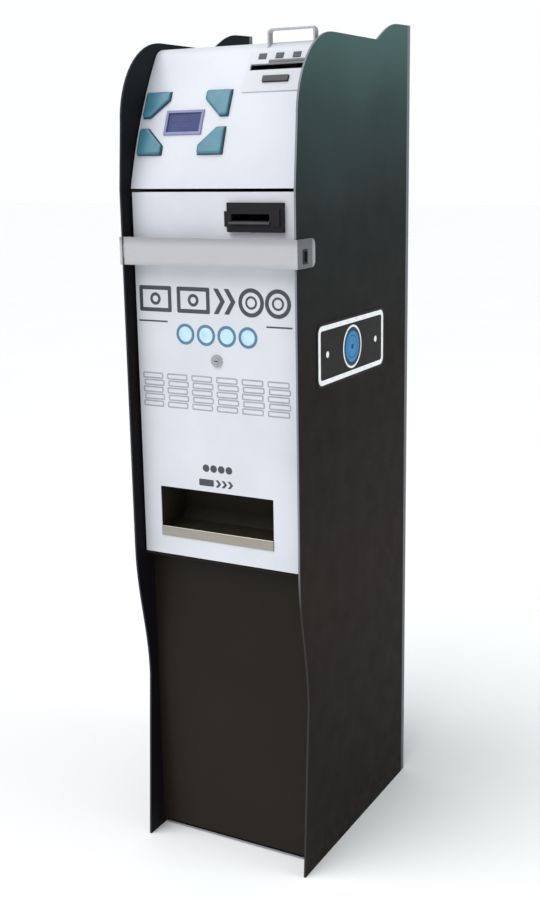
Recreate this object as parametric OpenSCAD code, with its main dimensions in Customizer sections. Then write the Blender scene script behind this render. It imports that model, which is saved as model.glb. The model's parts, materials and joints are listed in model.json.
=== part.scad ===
// Free-standing change machine: a slim steel floor cabinet that takes banknotes through a
// note validator and pays coins out of two hoppers into a tray in the door.
// X runs across the machine, the front faces -Y, and the floor is Z = 0.

/* [Cabinet] */
// Overall height, at the rear corners of the side panels
height = 1600; // [1590:2:1640]
// Width over the two side panels
width = 360; // [356:2:380]
// Depth of the side panels, front edge to rear
depth = 500; // [490:2:540]
// Thickness of each side panel
side_t = 4; // [3:0.5:5]
// Thickness of the folded sheet that the inner frame is made of
sheet_t = 2; // [1.5:0.5:2.5]

/* [Front] */
// How far the white front stands behind the edges of the side panels
panel_set = 28; // [24:1:32]
// Height of the door's lower edge
door_z = 608; // [604:1:620]
// How far the kick panel stands behind the front edges
kick_set = 58; // [50:1:70]
// Gap between the door and each side panel
side_gap = 4; // [4:0.5:5]

/* [Hood] */
// Radius of the curved hood
hood_r = 850; // [800:10:950]
// Lean of the hood at its lower edge, in degrees
hood_lean = 14; // [12:1:15]
// Radius of the crown between the curved front and the flat top
crown_r = 32; // [26:1:36]
// Travel of the four selection keys
key_travel = 2; // [1:0.5:2.5]

/* [Security strap] */
// Height of the strap's lower edge
strap_z = 1166; // [1120:1:1180]
// Width of the strap
strap_h = 50; // [40:1:52]
// Thickness of the strap
strap_t = 3.5; // [3:0.5:4]

/* [Payout tray] */
// Width of the tray opening
tray_w = 245; // [200:5:250]
// Height of the tray opening
tray_h = 78; // [60:1:84]

/* [Hidden] */
$fn = 48;

half = width / 2;
in_x = half - side_t;
front_y = -depth / 2;
rear_y = depth / 2;
panel_y = front_y + panel_set;
hood_drop = 299;
hood_z = height - hood_drop;
fit_gap = 0.05;
slack = 0.3;
// Overshoot of a cut past the face that it goes through
cut = 1;

// Colours
dark_paint = [0.24, 0.27, 0.28];
white_paint = [0.88, 0.9, 0.93];
plated = [0.5, 0.52, 0.53];
bright_steel = [0.7, 0.71, 0.72];
black_plastic = [0.16, 0.16, 0.18];
grey_plastic = [0.3, 0.31, 0.33];

// Side panel outline: plinth, waist, straight front edge, elliptical shoulder, rear upstand
foot_set = 8;
waist_set = 32;
waist_z = 345;
arm_z = 620;
shoulder_lean = 10;
shoulder_y = 150;
shoulder_h = 150;
side_top = height - 37;
ramp_y = rear_y - 162;
ramp_run = 100;
upstand_z = height - 2;
waist_steps = 14;
shoulder_steps = 16;
ramp_steps = 8;

function ease(t) = (1 - cos(180 * t)) / 2;
side_outline = concat(
  [[rear_y, 0], [front_y + foot_set, 0]],
  [for (i = [0:waist_steps]) let (t = i / waist_steps)
    [front_y + waist_set * (1 - ease(t)), waist_z + (arm_z - waist_z) * t]],
  [[front_y, hood_z]],
  [for (i = [0:shoulder_steps]) let (a = 90 * i / shoulder_steps)
    [front_y + shoulder_y - (shoulder_y - shoulder_lean) * cos(a), side_top - shoulder_h * (1 - sin(a))]],
  [for (i = [0:ramp_steps]) let (t = i / ramp_steps)
    [ramp_y + ramp_run * t, side_top + (upstand_z - side_top) * sin(90 * t)]],
  [[rear_y, height]]
);

// Hood section: an arc of hood_r, then the crown, then the flat top back to the hinge
hood_run = 255;
hood_t = 2.5;
hood_half = in_x - 2;
hinge_y = rear_y - 160;
hood_steps = 20;
crown_steps = 8;
cheek_in = 16;
cheek_t = 2;
hood_cut = 3;
hinge_back = 8;

function hood_angle(s) = hood_lean + s / hood_r * 180 / PI;
function hood_y(s) = panel_y + hood_r * (cos(hood_lean) - cos(hood_angle(s)));
function hood_rise(s) = hood_z + hood_r * (sin(hood_angle(s)) - sin(hood_lean));

crown_lean = hood_angle(hood_run);
crown_y = hood_y(hood_run) + crown_r * cos(crown_lean);
crown_z = hood_rise(hood_run) - crown_r * sin(crown_lean);
hood_top = crown_z + crown_r;
leaf_t = 1.5;
hinge_z = hood_top - hood_t - leaf_t;

function hood_line(inset, first = 0) = concat(
  [for (i = [first:hood_steps]) let (s = hood_run * i / hood_steps, a = hood_angle(s))
    [hood_y(s) + inset * cos(a), hood_rise(s) - inset * sin(a)]],
  [for (i = [1:crown_steps]) let (a = crown_lean + (90 - crown_lean) * i / crown_steps)
    [crown_y - (crown_r - inset) * cos(a), crown_z + (crown_r - inset) * sin(a)]],
  [[hinge_y - hinge_back, hood_top - inset]]
);
function backwards(list) = [for (i = [len(list) - 1:-1:0]) list[i]];

// Selection keys: four blunt-tipped triangles with their right angles outwards, round the display
key_x = -78;
key_s = 121;
key_reach_x = 90;
key_reach_s = 60;
key_w = 52;
key_h = 50;
key_proud = 7;
key_tip = 17;
key_gap = 0.8;
key_flange = hood_t + 0.8;
key_rim = 2.5;
key_rim_t = 1.6;
key_corners = [[-1, 1], [1, 1], [-1, -1], [1, -1]];
board_in = 22;
board_t = 1.6;
switch_h = 3.5;
switch_gap = 2.5;
key_stem = board_in - switch_h - switch_gap - key_travel;
key_stem_r = 4;
stem_share = 0.28;

// Display
display_w = 73;
display_h = 40;
display_rim = 3;

// Coin inlet on the upper right of the hood
inlet_x = 89;
inlet_s = 213;
inlet_w = 118;
inlet_h = 78;
inlet_lift = 0.1;
inlet_t = 1.8;
slot_w = 104;
slot_h = 12;
slot_s = 222;
bar_x = 94;
bar_w = 52;
bar_h = 12;
bar_s = 197;
lamp_s = 243;
lamp_xs = [57, 91, 125];
lamp_w = 16;
lamp_h = 12;
ledge_x = [73, 146];
ledge_s = [229.5, 234.5];

// Hood handle: a flat bar bent into an arch whose two legs pass down through the crown
handle_x = 107;
handle_w = 94;
handle_t = 4;
handle_bend = 9;
handle_y = [panel_y + 102, panel_y + 116];
handle_low = hood_top - 26;
handle_high = hood_top + 23;

// Door
door_half = in_x - side_gap;
door_top = hood_z - 6;
door_t = 20;
pivot_in = 8;
pivot_x = -door_half + pivot_in;
pivot_y = panel_y + pivot_in;
pivot_r = 3;
bush_r = 5.5;
bush_h = 12;
bracket_t = 3;

// Note mask on the door and the validator behind it
mask_x = 88.75;
mask_w = 111.5;
mask_z = 1251.5;
mask_h = 51;
mask_proud = 9;
note_x = 80;
note_w = 76;
note_h = 12;

// Payout tray
tray_x = -10.5;
tray_z = 665;
tray_depth = 95;
lip_h = 20;
cup_wall = 2;

// Lock
lock_z = 993;
lock_r = 9;
plug_r = 6;
cam_y = panel_y + 33;

// Hinges: radius of a barrel and of its pin, on the hood and on the strap
knuckle_r = 4;
knuckle_pin_r = 2;
strap_knuckle_r = 3.5;
strap_pin_r = 1.75;

// Strap: hinged in front of the left side panel's edge, its slotted tab lies on the right panel
strap_axis = [-in_x - 1.5, front_y - 4];
strap_face = front_y - slack;
strap_web = 4.5;
barrel_in = 14;
tab_x = half + slack;
tab_len = 64;
tab_corner = 12;
tab_slot = [20, 31];
tab_slot_h = 20;
tab_slot_z = strap_z + 20;
strap_leaf_t = 1.8;
strap_leaf_len = 24;
rivet_r = 2.5;
rivet_hole_r = 2.6;
rivet_y = front_y + 12;
rivet_z = [strap_z + 10, strap_z + strap_h / 2, strap_z + strap_h - 10];

// Inner frame
frame_y = front_y + 64;
flange_y = front_y + 80;
rear_t = 3;
base_t = 4;
kick_t = 3;
lower_t = 4;
shelf_t = 3;
shelf_z = 776;

// Hoppers
drive_z = shelf_z + shelf_t;
bin_z = shelf_z + 28;
bin_x = 77;
bin_w = 140;
bin_d = 160;
bin_h = 150;
bin_y = front_y + 72;
bin_floor = 4;
disc_y = front_y + 150;
disc_r = 60;
shaft_r = 4;
coin_exit_y = -40;
spout_r = 16.5;
spout_bore = 14.5;

// Validator
roller_r = 8;
roller_y = front_y + 72;
roller_pin_r = 2.5;
roller_nip = 0.2;
head_x = [note_x - 48, note_x + 48];
head_y = [panel_y + 22, panel_y + 160];
head_z = [mask_z - 40, mask_z + 38];
seat_z = lock_z + 17;

// Fan and openings in the rear panel
fan_x = 95;
fan_z = 1400;
fan_w = 80;
fan_bore = 38;
fan_hub = 15;
fan_pin_r = 2;
guard_rings = [14, 24, 34];
inlet_z = 120;
power_x = -110;
power_w = 48;
power_h = 28;
rocker_x = power_x + 14.5;
rocker_y = rear_y - 4;
rocker_pin_r = 1.5;
gland_x = 120;
gland_r = 10;

// Vents in the rear panel: middle, lowest slot and slot length of each group
vents = [[-95, 1340, 110], [0, 660, 160]];
vent_rows = 7;
vent_pitch = 14;
vent_h = 6;

// Holes that fasten the cabinet to a floor and to a wall
anchor_x = 130;
anchor_y = 165;
anchor_r = 6;
wall_fix_x = 120;
wall_fix_z = [250, 1300];
wall_fix_r = 5;

// A box between two opposite corners
module block(low, high) {
  translate(low) cube(high - low);
}

// A box of the given width and height about the Y axis, from y0 to y1
module window(w, h, y0, y1) {
  block([-w / 2, y0, -h / 2], [w / 2, y1, h / 2]);
}

// A closed outline in the YZ plane, drawn out from x0 to x1
module across(x0, x1) {
  translate([x0, 0, 0]) rotate([90, 0, 90]) linear_extrude(x1 - x0) children();
}

module rod_x(r, x0, x1, y, z) {
  translate([x0, y, z]) rotate([0, 90, 0]) cylinder(r = r, h = x1 - x0);
}

module rod_y(r, y0, y1, x, z) {
  translate([x, y1, z]) rotate([90, 0, 0]) cylinder(r = r, h = y1 - y0);
}

module rod_z(r, z0, z1, x, y) {
  translate([x, y, z0]) cylinder(r = r, h = z1 - z0);
}

// Places a child on the hood: X across, Z up the curve, -Y outwards
module on_hood(x, s) {
  translate([x, hood_y(s), hood_rise(s)]) rotate([-hood_angle(s), 0, 0]) children();
}

// A pair of strips of sheet that lie on the inner faces of the two side panels
module side_strips(t, y0, y1, z0, z1) {
  for (s = [-1, 1])
    block([s * (in_x - t / 2) - t / 2, y0, z0], [s * (in_x - t / 2) + t / 2, y1, z1]);
}

// ---- Cabinet ----

module side_plate(x0) {
  across(x0, x0 + side_t) polygon(side_outline);
}

module left_side_panel() {
  color(dark_paint) difference() {
    side_plate(-half);
    rivet_holes();
  }
}

module right_side_panel() {
  color(dark_paint) difference() {
    side_plate(in_x);
    lock_slot(in_x - cut, half + cut);
  }
}

// The slot that a padlock passes through: strap tab and side panel line up
module lock_slot(x0, x1) {
  block([x0, front_y + tab_slot[0], tab_slot_z - tab_slot_h / 2],
    [x1, front_y + tab_slot[1], tab_slot_z + tab_slot_h / 2]);
}

module rivet_holes() {
  for (z = rivet_z) rod_x(rivet_hole_r, -half - cut, -in_x + strap_leaf_t + cut, rivet_y, z);
}

module vent_slots(vent) {
  for (i = [0:vent_rows - 1]) let (z = vent[1] + i * vent_pitch)
    block([vent[0] - vent[2] / 2, rear_y - rear_t - cut, z],
      [vent[0] + vent[2] / 2, rear_y + cut, z + vent_h]);
}

module rear_hole(r, x, z) {
  rod_y(r, rear_y - rear_t - cut, rear_y + cut, x, z);
}

module rear_panel() {
  color(dark_paint) difference() {
    block([-in_x, rear_y - rear_t, base_t], [in_x, rear_y, hood_top - rear_t]);
    for (vent = vents) vent_slots(vent);
    for (r = guard_rings) guard_ring(r);
    translate([power_x, rear_y, inlet_z]) window(power_w, power_h, -rear_t - cut, cut);
    rear_hole(gland_r, gland_x, inlet_z);
    for (x = [-1, 1], z = wall_fix_z) rear_hole(wall_fix_r, x * wall_fix_x, z);
  }
}

// One ring of the fan guard: an annular slot bridged by four spokes
module guard_ring(r) {
  slot = 3;
  spoke = 5;
  deep = rear_t + 2 * cut;
  translate([fan_x, rear_y + cut, fan_z]) rotate([90, 0, 0]) difference() {
    cylinder(r = r + slot, h = deep);
    translate([0, 0, -cut]) cylinder(r = r - slot, h = deep + 2 * cut);
    for (a = [45, 135]) rotate(a)
      translate([-fan_w / 2, -spoke / 2, -cut]) cube([fan_w, spoke, deep + 2 * cut]);
  }
}

module base_plate() {
  rim_h = 40;
  color(dark_paint) difference() {
    union() {
      block([-in_x, frame_y, 0], [in_x, rear_y - rear_t, base_t]);
      side_strips(sheet_t, frame_y, rear_y - rear_t, base_t, rim_h);
    }
    for (x = [-1, 1], y = [-1, 1]) rod_z(anchor_r, -cut, base_t + cut, x * anchor_x, y * anchor_y);
  }
}

module kick_panel() {
  foot_gap = 12;
  top_gap = 8;
  top = door_z - top_gap;
  back = front_y + kick_set + kick_t;
  ledge = 13;
  ledge_z = top - 16;
  color(black_plastic) union() {
    block([-in_x, front_y + kick_set, foot_gap], [in_x, back, top]);
    block([-in_x + kick_t, back, ledge_z], [in_x - kick_t, back + ledge, ledge_z + sheet_t]);
  }
}

module lower_shelf() {
  top = door_z - 4;
  flange_h = 30;
  color(plated) union() {
    block([-in_x, panel_y + 6, top - lower_t], [in_x, rear_y - rear_t, top]);
    side_strips(sheet_t, flange_y, rear_y - 10, top - lower_t - flange_h, top - lower_t);
  }
}

module hopper_shelf() {
  flange_h = 25;
  hole_r = spout_r + 0.5;
  color(plated) difference() {
    union() {
      block([-in_x, frame_y, shelf_z], [in_x, rear_y - rear_t, shelf_z + shelf_t]);
      side_strips(sheet_t, flange_y, rear_y - 10, shelf_z - flange_h, shelf_z);
    }
    for (s = [-1, 1])
      rod_z(hole_r, shelf_z - cut, shelf_z + shelf_t + cut, s * bin_x, disc_y + coin_exit_y);
  }
}

module top_cover() {
  flange_h = 30;
  color(white_paint) union() {
    block([-in_x, hinge_y + hinge_back, hood_top - hood_t], [in_x, rear_y, hood_top]);
    block([-in_x, rear_y - rear_t - sheet_t, hood_top - flange_h],
      [in_x, rear_y - rear_t, hood_top - hood_t]);
  }
}

// Bar that the lock's cam turns behind, with an end plate on each side panel
module lock_crossbar() {
  bar = [52, 56];
  end = 90;
  end_t = 3;
  low = seat_z;
  high = seat_z + 24;
  color(plated) union() {
    block([-in_x, front_y + bar[0], low], [in_x, front_y + bar[1], high]);
    side_strips(end_t, front_y + bar[1], front_y + end, low - 5, high + 5);
  }
}

// An angle bracket on the left side panel with the pivot pin that carries one end of the door
module pivot_bracket(z0, fold_z, pin_z0, pin_z1) {
  reach = pivot_x + 14;
  fold_y = front_y + 54;
  block([-in_x, panel_y - 1, z0], [reach, flange_y, z0 + bracket_t]);
  block([-in_x, fold_y, min(fold_z, z0)], [-in_x + bracket_t, flange_y, max(fold_z, z0 + bracket_t)]);
  rod_z(pivot_r, pin_z0, pin_z1, pivot_x, pivot_y);
}

module door_pivot_brackets() {
  fold_h = 40;
  color(plated) union() {
    pivot_bracket(door_top + 1, door_top + 1 - fold_h, door_top - bush_h, door_top + 2);
    pivot_bracket(door_z - 1 - bracket_t, door_z + fold_h, door_z - 2, door_z + 2 + bush_h);
  }
}

// ---- Hood ----

module hood_panel() {
  color(white_paint) difference() {
    union() {
      across(-hood_half, hood_half) polygon(concat(hood_line(0), backwards(hood_line(hood_t))));
      for (s = [-1, 1]) let (x = s * (hood_half - cheek_t / 2))
        across(x - cheek_t / 2, x + cheek_t / 2)
          polygon(concat(hood_line(hood_t, 1), backwards(hood_line(cheek_in, 1))));
    }
    for (c = key_corners) key_place(c) key_prism(key_gap, -hood_cut, hood_t + hood_cut);
    on_hood(key_x, key_s) window(display_w, display_h, -hood_cut, hood_t + hood_cut);
    inlet_openings();
    for (s = [-1, 1]) let (x = handle_x + s * (handle_w - handle_t) / 2, reach = handle_t / 2 + slack)
      block([x - reach, handle_y[0] - slack, handle_low], [x + reach, handle_y[1] + slack, hood_top + cut]);
  }
}

// Knuckles along X: every second length of the hinge line belongs to one leaf
hinge_parts = 9;
hinge_len = 2 * hood_half - 20;
hinge_step = hinge_len / hinge_parts;
leaf_near = 5;
leaf_far = 26;

// One leaf of the hood hinge from y0 to y1, holding every second knuckle from the given one on
module hood_leaf(first, y0, y1) {
  difference() {
    union() {
      block([-hinge_len / 2, y0, hinge_z], [hinge_len / 2, y1, hinge_z + leaf_t]);
      for (i = [first:2:hinge_parts - 1]) let (x = -hinge_len / 2 + i * hinge_step) {
        rod_x(knuckle_r, x + slack, x + hinge_step - slack, hinge_y, hinge_z);
        block([x + slack, min(y0, hinge_y), hinge_z],
          [x + hinge_step - slack, max(y1, hinge_y), hinge_z + leaf_t]);
      }
    }
    rod_x(knuckle_pin_r + fit_gap, -half, half, hinge_y, hinge_z);
  }
}

module hood_hinge_fixed() {
  color(bright_steel) hood_leaf(0, hinge_y + leaf_near, hinge_y + leaf_far);
}

module hood_hinge_moving() {
  color(bright_steel) hood_leaf(1, hinge_y - leaf_far, hinge_y - leaf_near);
}

module hood_hinge_pin() {
  color(bright_steel) rod_x(knuckle_pin_r, -hinge_len / 2 - 1, hinge_len / 2 + 1, hinge_y, hinge_z);
}

// The arch's outline, moved in on its outer side, as a solid from y0 to y1
module arch(inset, low, y0, y1) {
  r = handle_bend - inset;
  reach = handle_w / 2 - inset;
  top = handle_high - inset;
  block([-reach, y0, low], [reach, y1, top - r]);
  block([r - reach, y0, top - 2 * r], [reach - r, y1, top]);
  for (s = [-1, 1]) rod_y(r, y0, y1, s * (reach - r), top - r);
}

module hood_handle() {
  color(plated) translate([handle_x, 0, 0]) difference() {
    arch(0, handle_low, handle_y[0], handle_y[1]);
    arch(handle_t, handle_low - cut, handle_y[0] - cut, handle_y[1] + cut);
  }
}

module display_frame() {
  overlap = 2;
  color([0.72, 0.75, 0.85]) on_hood(key_x, key_s) difference() {
    window(display_w + 2 * display_rim, display_h + 2 * display_rim, -2.5, -slack);
    window(display_w - 2 * overlap, display_h - 2 * overlap, -hood_cut, hood_cut);
  }
}

module display_window() {
  glass = [-0.2, 2.3];
  color([0.3, 0.34, 0.56]) on_hood(key_x, key_s) window(display_w - 1, display_h - 1, glass[0], glass[1]);
}

// Board behind the keys and the display, with the display's body, four posts and four switches
module display_board() {
  stem_x = key_reach_x - key_w * stem_share;
  stem_z = key_reach_s - key_h * stem_share;
  board = [168, 112];
  body_y = 4;
  post = [44, 24];
  post_r = 3;
  switch_r = 5;
  color([0.1, 0.35, 0.22]) on_hood(key_x, key_s) union() {
    window(board[0], board[1], board_in, board_in + board_t);
    window(display_w, display_h, body_y, board_in);
    for (x = [-1, 1], z = [-1, 1]) {
      rod_y(post_r, hood_t + 0.6, board_in, x * post[0], z * post[1]);
      rod_y(switch_r, board_in - switch_h, board_in, x * stem_x, z * stem_z);
    }
  }
}

// Stands a child in one corner of the key group; the corner is given as signs
module key_place(c) {
  on_hood(key_x + c[0] * key_reach_x, key_s + c[1] * (key_reach_s - key_h / 2))
    mirror([c[0] > 0 ? 1 : 0, 0, 0]) mirror([0, 0, c[1] > 0 ? 1 : 0])
      translate([0, 0, -key_h / 2]) children();
}

// A key's outline grown by g on every side: a right-angled triangle with its two tips cut off
function key_outline(g) = let (
  run = key_w - key_tip,
  rise = key_h - key_tip,
  long = sqrt(run * run + rise * rise),
  side = [rise / long, run / long]
) [
  [-g, -g],
  [key_w + g, -g],
  [key_w + g, key_tip + g * (1 - side[0]) / side[1]],
  [key_tip + g * (1 - side[1]) / side[0], key_h + g],
  [-g, key_h + g]
];

module key_prism(g, y0, y1) {
  translate([0, y1, 0]) rotate([90, 0, 0]) linear_extrude(y1 - y0) polygon(key_outline(g));
}

module key(c) {
  color([0.3, 0.58, 0.64]) key_place(c) union() {
    key_prism(0, -key_proud, key_flange);
    key_prism(key_rim, key_flange, key_flange + key_rim_t);
    rod_y(key_stem_r, key_flange, key_stem, key_w * stem_share, key_h * stem_share);
  }
}

module key_upper_left() { key(key_corners[0]); }
module key_upper_right() { key(key_corners[1]); }
module key_lower_left() { key(key_corners[2]); }
module key_lower_right() { key(key_corners[3]); }

// Stretch of the hood's curve between two places along it, at an inset from its face
arc_steps = 6;
function hood_arc(inset, s0, s1) = [
  for (i = [0:arc_steps]) let (s = s0 + (s1 - s0) * i / arc_steps, a = hood_angle(s))
    [hood_y(s) + inset * cos(a), hood_rise(s) - inset * sin(a)]
];

// The coin slot, the bar's opening and the lamp windows, cut through plate and hood
module inlet_openings() {
  y0 = -inlet_t - 2 * hood_cut;
  y1 = hood_t + hood_cut;
  on_hood(inlet_x, slot_s) window(slot_w, slot_h, y0, y1);
  on_hood(bar_x, bar_s) window(bar_w, bar_h, y0, y1);
  for (x = lamp_xs) on_hood(x, lamp_s) window(lamp_w, lamp_h, y0, y1);
}

module inlet_plate() {
  low = inlet_s - inlet_h / 2;
  high = inlet_s + inlet_h / 2;
  face = inlet_lift + inlet_t;
  ledge_t = 2.5;
  color([0.8, 0.82, 0.86]) difference() {
    union() {
      across(inlet_x - inlet_w / 2, inlet_x + inlet_w / 2)
        polygon(concat(hood_arc(-inlet_lift, low, high), backwards(hood_arc(-face, low, high))));
      across(ledge_x[0], ledge_x[1]) polygon(concat(
        hood_arc(-inlet_lift, ledge_s[0], ledge_s[1]),
        backwards(hood_arc(-face - ledge_t, ledge_s[0], ledge_s[1]))
      ));
    }
    inlet_openings();
  }
}

module inlet_lamps() {
  gap = 0.8;
  proud = 0.8;
  deep = 6;
  color(black_plastic) for (x = lamp_xs) on_hood(x, lamp_s)
    window(lamp_w - gap, lamp_h - gap, -inlet_t - proud, deep);
}

// Push bar in the inlet plate; a wider flange behind the hood keeps it from falling out
module reject_bar() {
  gap = 1;
  proud = 4;
  wider = 8;
  stop = [0.5, 3];
  color(black_plastic) on_hood(bar_x, bar_s) union() {
    window(bar_w - gap, bar_h - gap, -inlet_t - proud, hood_t + 6);
    window(bar_w + wider, bar_h - gap, hood_t + stop[0], hood_t + stop[1]);
  }
}

// ---- Door ----

module door_panel() {
  mask_in = 4;
  deep = 4;
  color(white_paint) difference() {
    block([-door_half, panel_y, door_z], [door_half, panel_y + door_t, door_top]);
    block([-door_half + sheet_t, panel_y + sheet_t, door_z + sheet_t],
      [door_half - sheet_t, panel_y + door_t + cut, door_top - sheet_t]);
    translate([mask_x, panel_y, mask_z]) window(mask_w - 2 * mask_in, mask_h - 2 * mask_in, -cut, deep);
    block([tray_x - tray_w / 2, panel_y - cut, tray_z - lip_h],
      [tray_x + tray_w / 2, panel_y + deep, tray_z + tray_h]);
    rod_y(lock_r + slack, panel_y - cut, panel_y + deep, 0, lock_z);
    for (z = [door_z, door_top]) rod_z(bush_r, z - sheet_t - cut, z + sheet_t + cut, pivot_x, pivot_y);
  }
}

module pivot_bush(z) {
  difference() {
    rod_z(bush_r, z, z + bush_h, pivot_x, pivot_y);
    rod_z(pivot_r + fit_gap, z - cut, z + bush_h + cut, pivot_x, pivot_y);
  }
}

module door_pivot_bushes() {
  color([0.72, 0.6, 0.35]) union() {
    pivot_bush(door_z + 1.5);
    pivot_bush(door_top - bush_h);
  }
}

// Mask with an ear on its left, a raised pad on its right and a plug that fills the door's opening
module note_mask() {
  z0 = mask_z - mask_h / 2;
  z1 = mask_z + mask_h / 2;
  x0 = mask_x - mask_w / 2;
  x1 = mask_x + mask_w / 2;
  ear = 8;
  ear_t = 4;
  plug_in = 4.5;
  plug_t = 14;
  lip_gap = 3;
  lip_drop = 6.5;
  pad = [121.5, 139.5];
  pad_h = 30;
  pad_t = 2.5;
  color(black_plastic) difference() {
    union() {
      block([x0, panel_y - mask_proud, z0], [x1, panel_y, z1]);
      block([x0 - ear, panel_y - ear_t, z0 + 9], [x0, panel_y, z1 - 15]);
      block([pad[0], panel_y - mask_proud - pad_t, mask_z - pad_h / 2],
        [pad[1], panel_y - mask_proud + cut, mask_z + pad_h / 2]);
      block([x0 + plug_in, panel_y, z0 + plug_in], [x1 - plug_in, panel_y + plug_t, z1 - plug_in]);
    }
    translate([note_x, panel_y, mask_z]) {
      window(note_w, note_h, -mask_proud - pad_t - cut, plug_t + cut);
      block([-note_w / 2 - lip_gap, -mask_proud - cut, -note_h / 2 - lip_drop],
        [note_w / 2 + lip_gap, -4, -note_h / 2]);
    }
  }
}

// Lip that a note is laid on: it stands out of the mask under the slot
module note_mask_lip() {
  reach = note_w / 2 + 2.5;
  back = panel_y - 4;
  top = mask_z - note_h / 2 - slack;
  foot = top - 5.8;
  color(grey_plastic) across(note_x - reach, note_x + reach) polygon([
    [back, top], [back, foot], [back - 9, foot], [back - 11, top - 4], [back - 10, top - 1.5]
  ]);
}

// The cup hangs behind the opening; its floor rises to the lip and its roof is open for the chutes
module payout_cup() {
  x0 = tray_x - tray_w / 2;
  x1 = tray_x + tray_w / 2;
  back = panel_y + tray_depth;
  roof = tray_z + tray_h + 16;
  roof_y = panel_y + 26;
  color(black_plastic) difference() {
    block([x0 - cup_wall, panel_y + sheet_t, tray_z - lip_h - cup_wall], [x1 + cup_wall, back, roof]);
    across(x0, x1) polygon([
      [panel_y - cut, tray_z], [panel_y + 30, tray_z - 12],
      [back - 20, tray_z - 6], [back - cup_wall, tray_z + 18],
      [back - cup_wall, roof + cut], [roof_y, roof + cut],
      [roof_y, tray_z + tray_h + 4], [panel_y - cut, tray_z + tray_h]
    ]);
  }
}

module payout_lip() {
  x0 = tray_x - tray_w / 2 + slack;
  x1 = tray_x + tray_w / 2 - slack;
  proud = 1.5;
  roll_r = 2;
  roll_z = tray_z - roll_r;
  color(bright_steel) union() {
    block([x0, panel_y - proud, tray_z - lip_h + slack], [x1, panel_y + sheet_t - slack, roll_z]);
    rod_x(roll_r, x0, x1, panel_y - slack, roll_z);
  }
}

module lock_housing() {
  rim = 2.5;
  color(bright_steel) difference() {
    union() {
      rod_y(lock_r + rim, panel_y - rim, panel_y, 0, lock_z);
      rod_y(lock_r, panel_y, cam_y - 1, 0, lock_z);
    }
    rod_y(plug_r + fit_gap, panel_y - rim - cut, cam_y + cut, 0, lock_z);
  }
}

module lock_nut() {
  nut_r = 13.5;
  nut_h = 5;
  nut_y = panel_y + sheet_t;
  color(plated) difference() {
    translate([0, nut_y + nut_h, lock_z]) rotate([90, 0, 0]) cylinder(r = nut_r, h = nut_h, $fn = 6);
    rod_y(lock_r + fit_gap, nut_y - cut, nut_y + nut_h + cut, 0, lock_z);
  }
}

// Plug with a key slot in its face and a cam at its back
module lock_plug() {
  cam_t = 3;
  cam_h = 16;
  cam_reach = 42;
  key_slot = [8, 1.8];
  color(plated) difference() {
    union() {
      rod_y(plug_r, panel_y - 3, cam_y + 4, 0, lock_z);
      block([-cam_h / 2, cam_y, lock_z - cam_h / 2], [cam_reach, cam_y + cam_t, lock_z + cam_h / 2]);
    }
    translate([0, panel_y, lock_z]) window(key_slot[0], key_slot[1], -4, 8);
  }
}

// ---- Security strap ----

module security_strap() {
  low = strap_z + barrel_in;
  high = strap_z + strap_h - barrel_in;
  tab_end = front_y + tab_len;
  corner_y = tab_end - tab_corner;
  color(bright_steel) difference() {
    union() {
      block([strap_axis[0] + strap_web, strap_face - strap_t, strap_z],
        [tab_x + strap_t, strap_face, strap_z + strap_h]);
      block([strap_axis[0], strap_face - strap_t, low], [strap_axis[0] + strap_web, strap_face, high]);
      rod_z(strap_knuckle_r, low, high, strap_axis[0], strap_axis[1]);
      block([tab_x, strap_face - cut, strap_z], [tab_x + strap_t, corner_y, strap_z + strap_h]);
      block([tab_x, corner_y, strap_z + tab_corner],
        [tab_x + strap_t, tab_end, strap_z + strap_h - tab_corner]);
      for (z = [strap_z + tab_corner, strap_z + strap_h - tab_corner])
        rod_x(tab_corner, tab_x, tab_x + strap_t, corner_y, z);
    }
    rod_z(strap_pin_r + fit_gap, low - cut, high + cut, strap_axis[0], strap_axis[1]);
    lock_slot(half, tab_x + strap_t + cut);
  }
}

// Leaf on the inner face of the left side panel, with a knuckle above and below the strap's barrel
module strap_hinge_leaf() {
  low = strap_z + barrel_in - slack;
  high = strap_z + strap_h - barrel_in + slack;
  clear_r = strap_knuckle_r + 3.5;
  color(bright_steel) difference() {
    union() {
      block([-in_x, strap_axis[1], strap_z],
        [-in_x + strap_leaf_t, front_y + strap_leaf_len, strap_z + strap_h]);
      for (z = [[strap_z, low], [high, strap_z + strap_h]])
        rod_z(strap_knuckle_r, z[0], z[1], strap_axis[0], strap_axis[1]);
    }
    block([strap_axis[0] - clear_r, strap_axis[1] - clear_r, low],
      [strap_axis[0] + clear_r, strap_axis[1] + clear_r, high]);
    rod_z(strap_pin_r, strap_z - cut, strap_z + strap_h + cut, strap_axis[0], strap_axis[1]);
    rivet_holes();
  }
}

module strap_hinge_pin() {
  color(plated) rod_z(strap_pin_r, strap_z, strap_z + strap_h, strap_axis[0], strap_axis[1]);
}

module strap_rivets() {
  dome_r = 5;
  dome_h = 2.2;
  color(plated) for (z = rivet_z) union() {
    rod_x(rivet_r, -half - dome_h / 2, -in_x + strap_leaf_t, rivet_y, z);
    translate([-half, rivet_y, z]) rotate([0, -90, 0]) cylinder(r1 = dome_r, r2 = dome_r / 2, h = dome_h);
  }
}

// ---- Validator, inside ----

module validator_head() {
  wall = 4;
  inlet = [note_w + 4, 10];
  color(black_plastic) difference() {
    block([head_x[0], head_y[0], head_z[0]], [head_x[1], head_y[1], head_z[1]]);
    block([head_x[0] + wall, head_y[0] + wall, head_z[0] + wall],
      [head_x[1] - wall, head_y[1] - wall, head_z[1] - wall]);
    translate([note_x, head_y[0], mask_z]) window(inlet[0], inlet[1], -cut, wall + cut);
    for (s = [-1, 1]) let (z = mask_z + s * (roller_r + roller_nip))
      rod_x(roller_pin_r + fit_gap, head_x[0] - cut, head_x[1] + cut, roller_y, z);
  }
}

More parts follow.
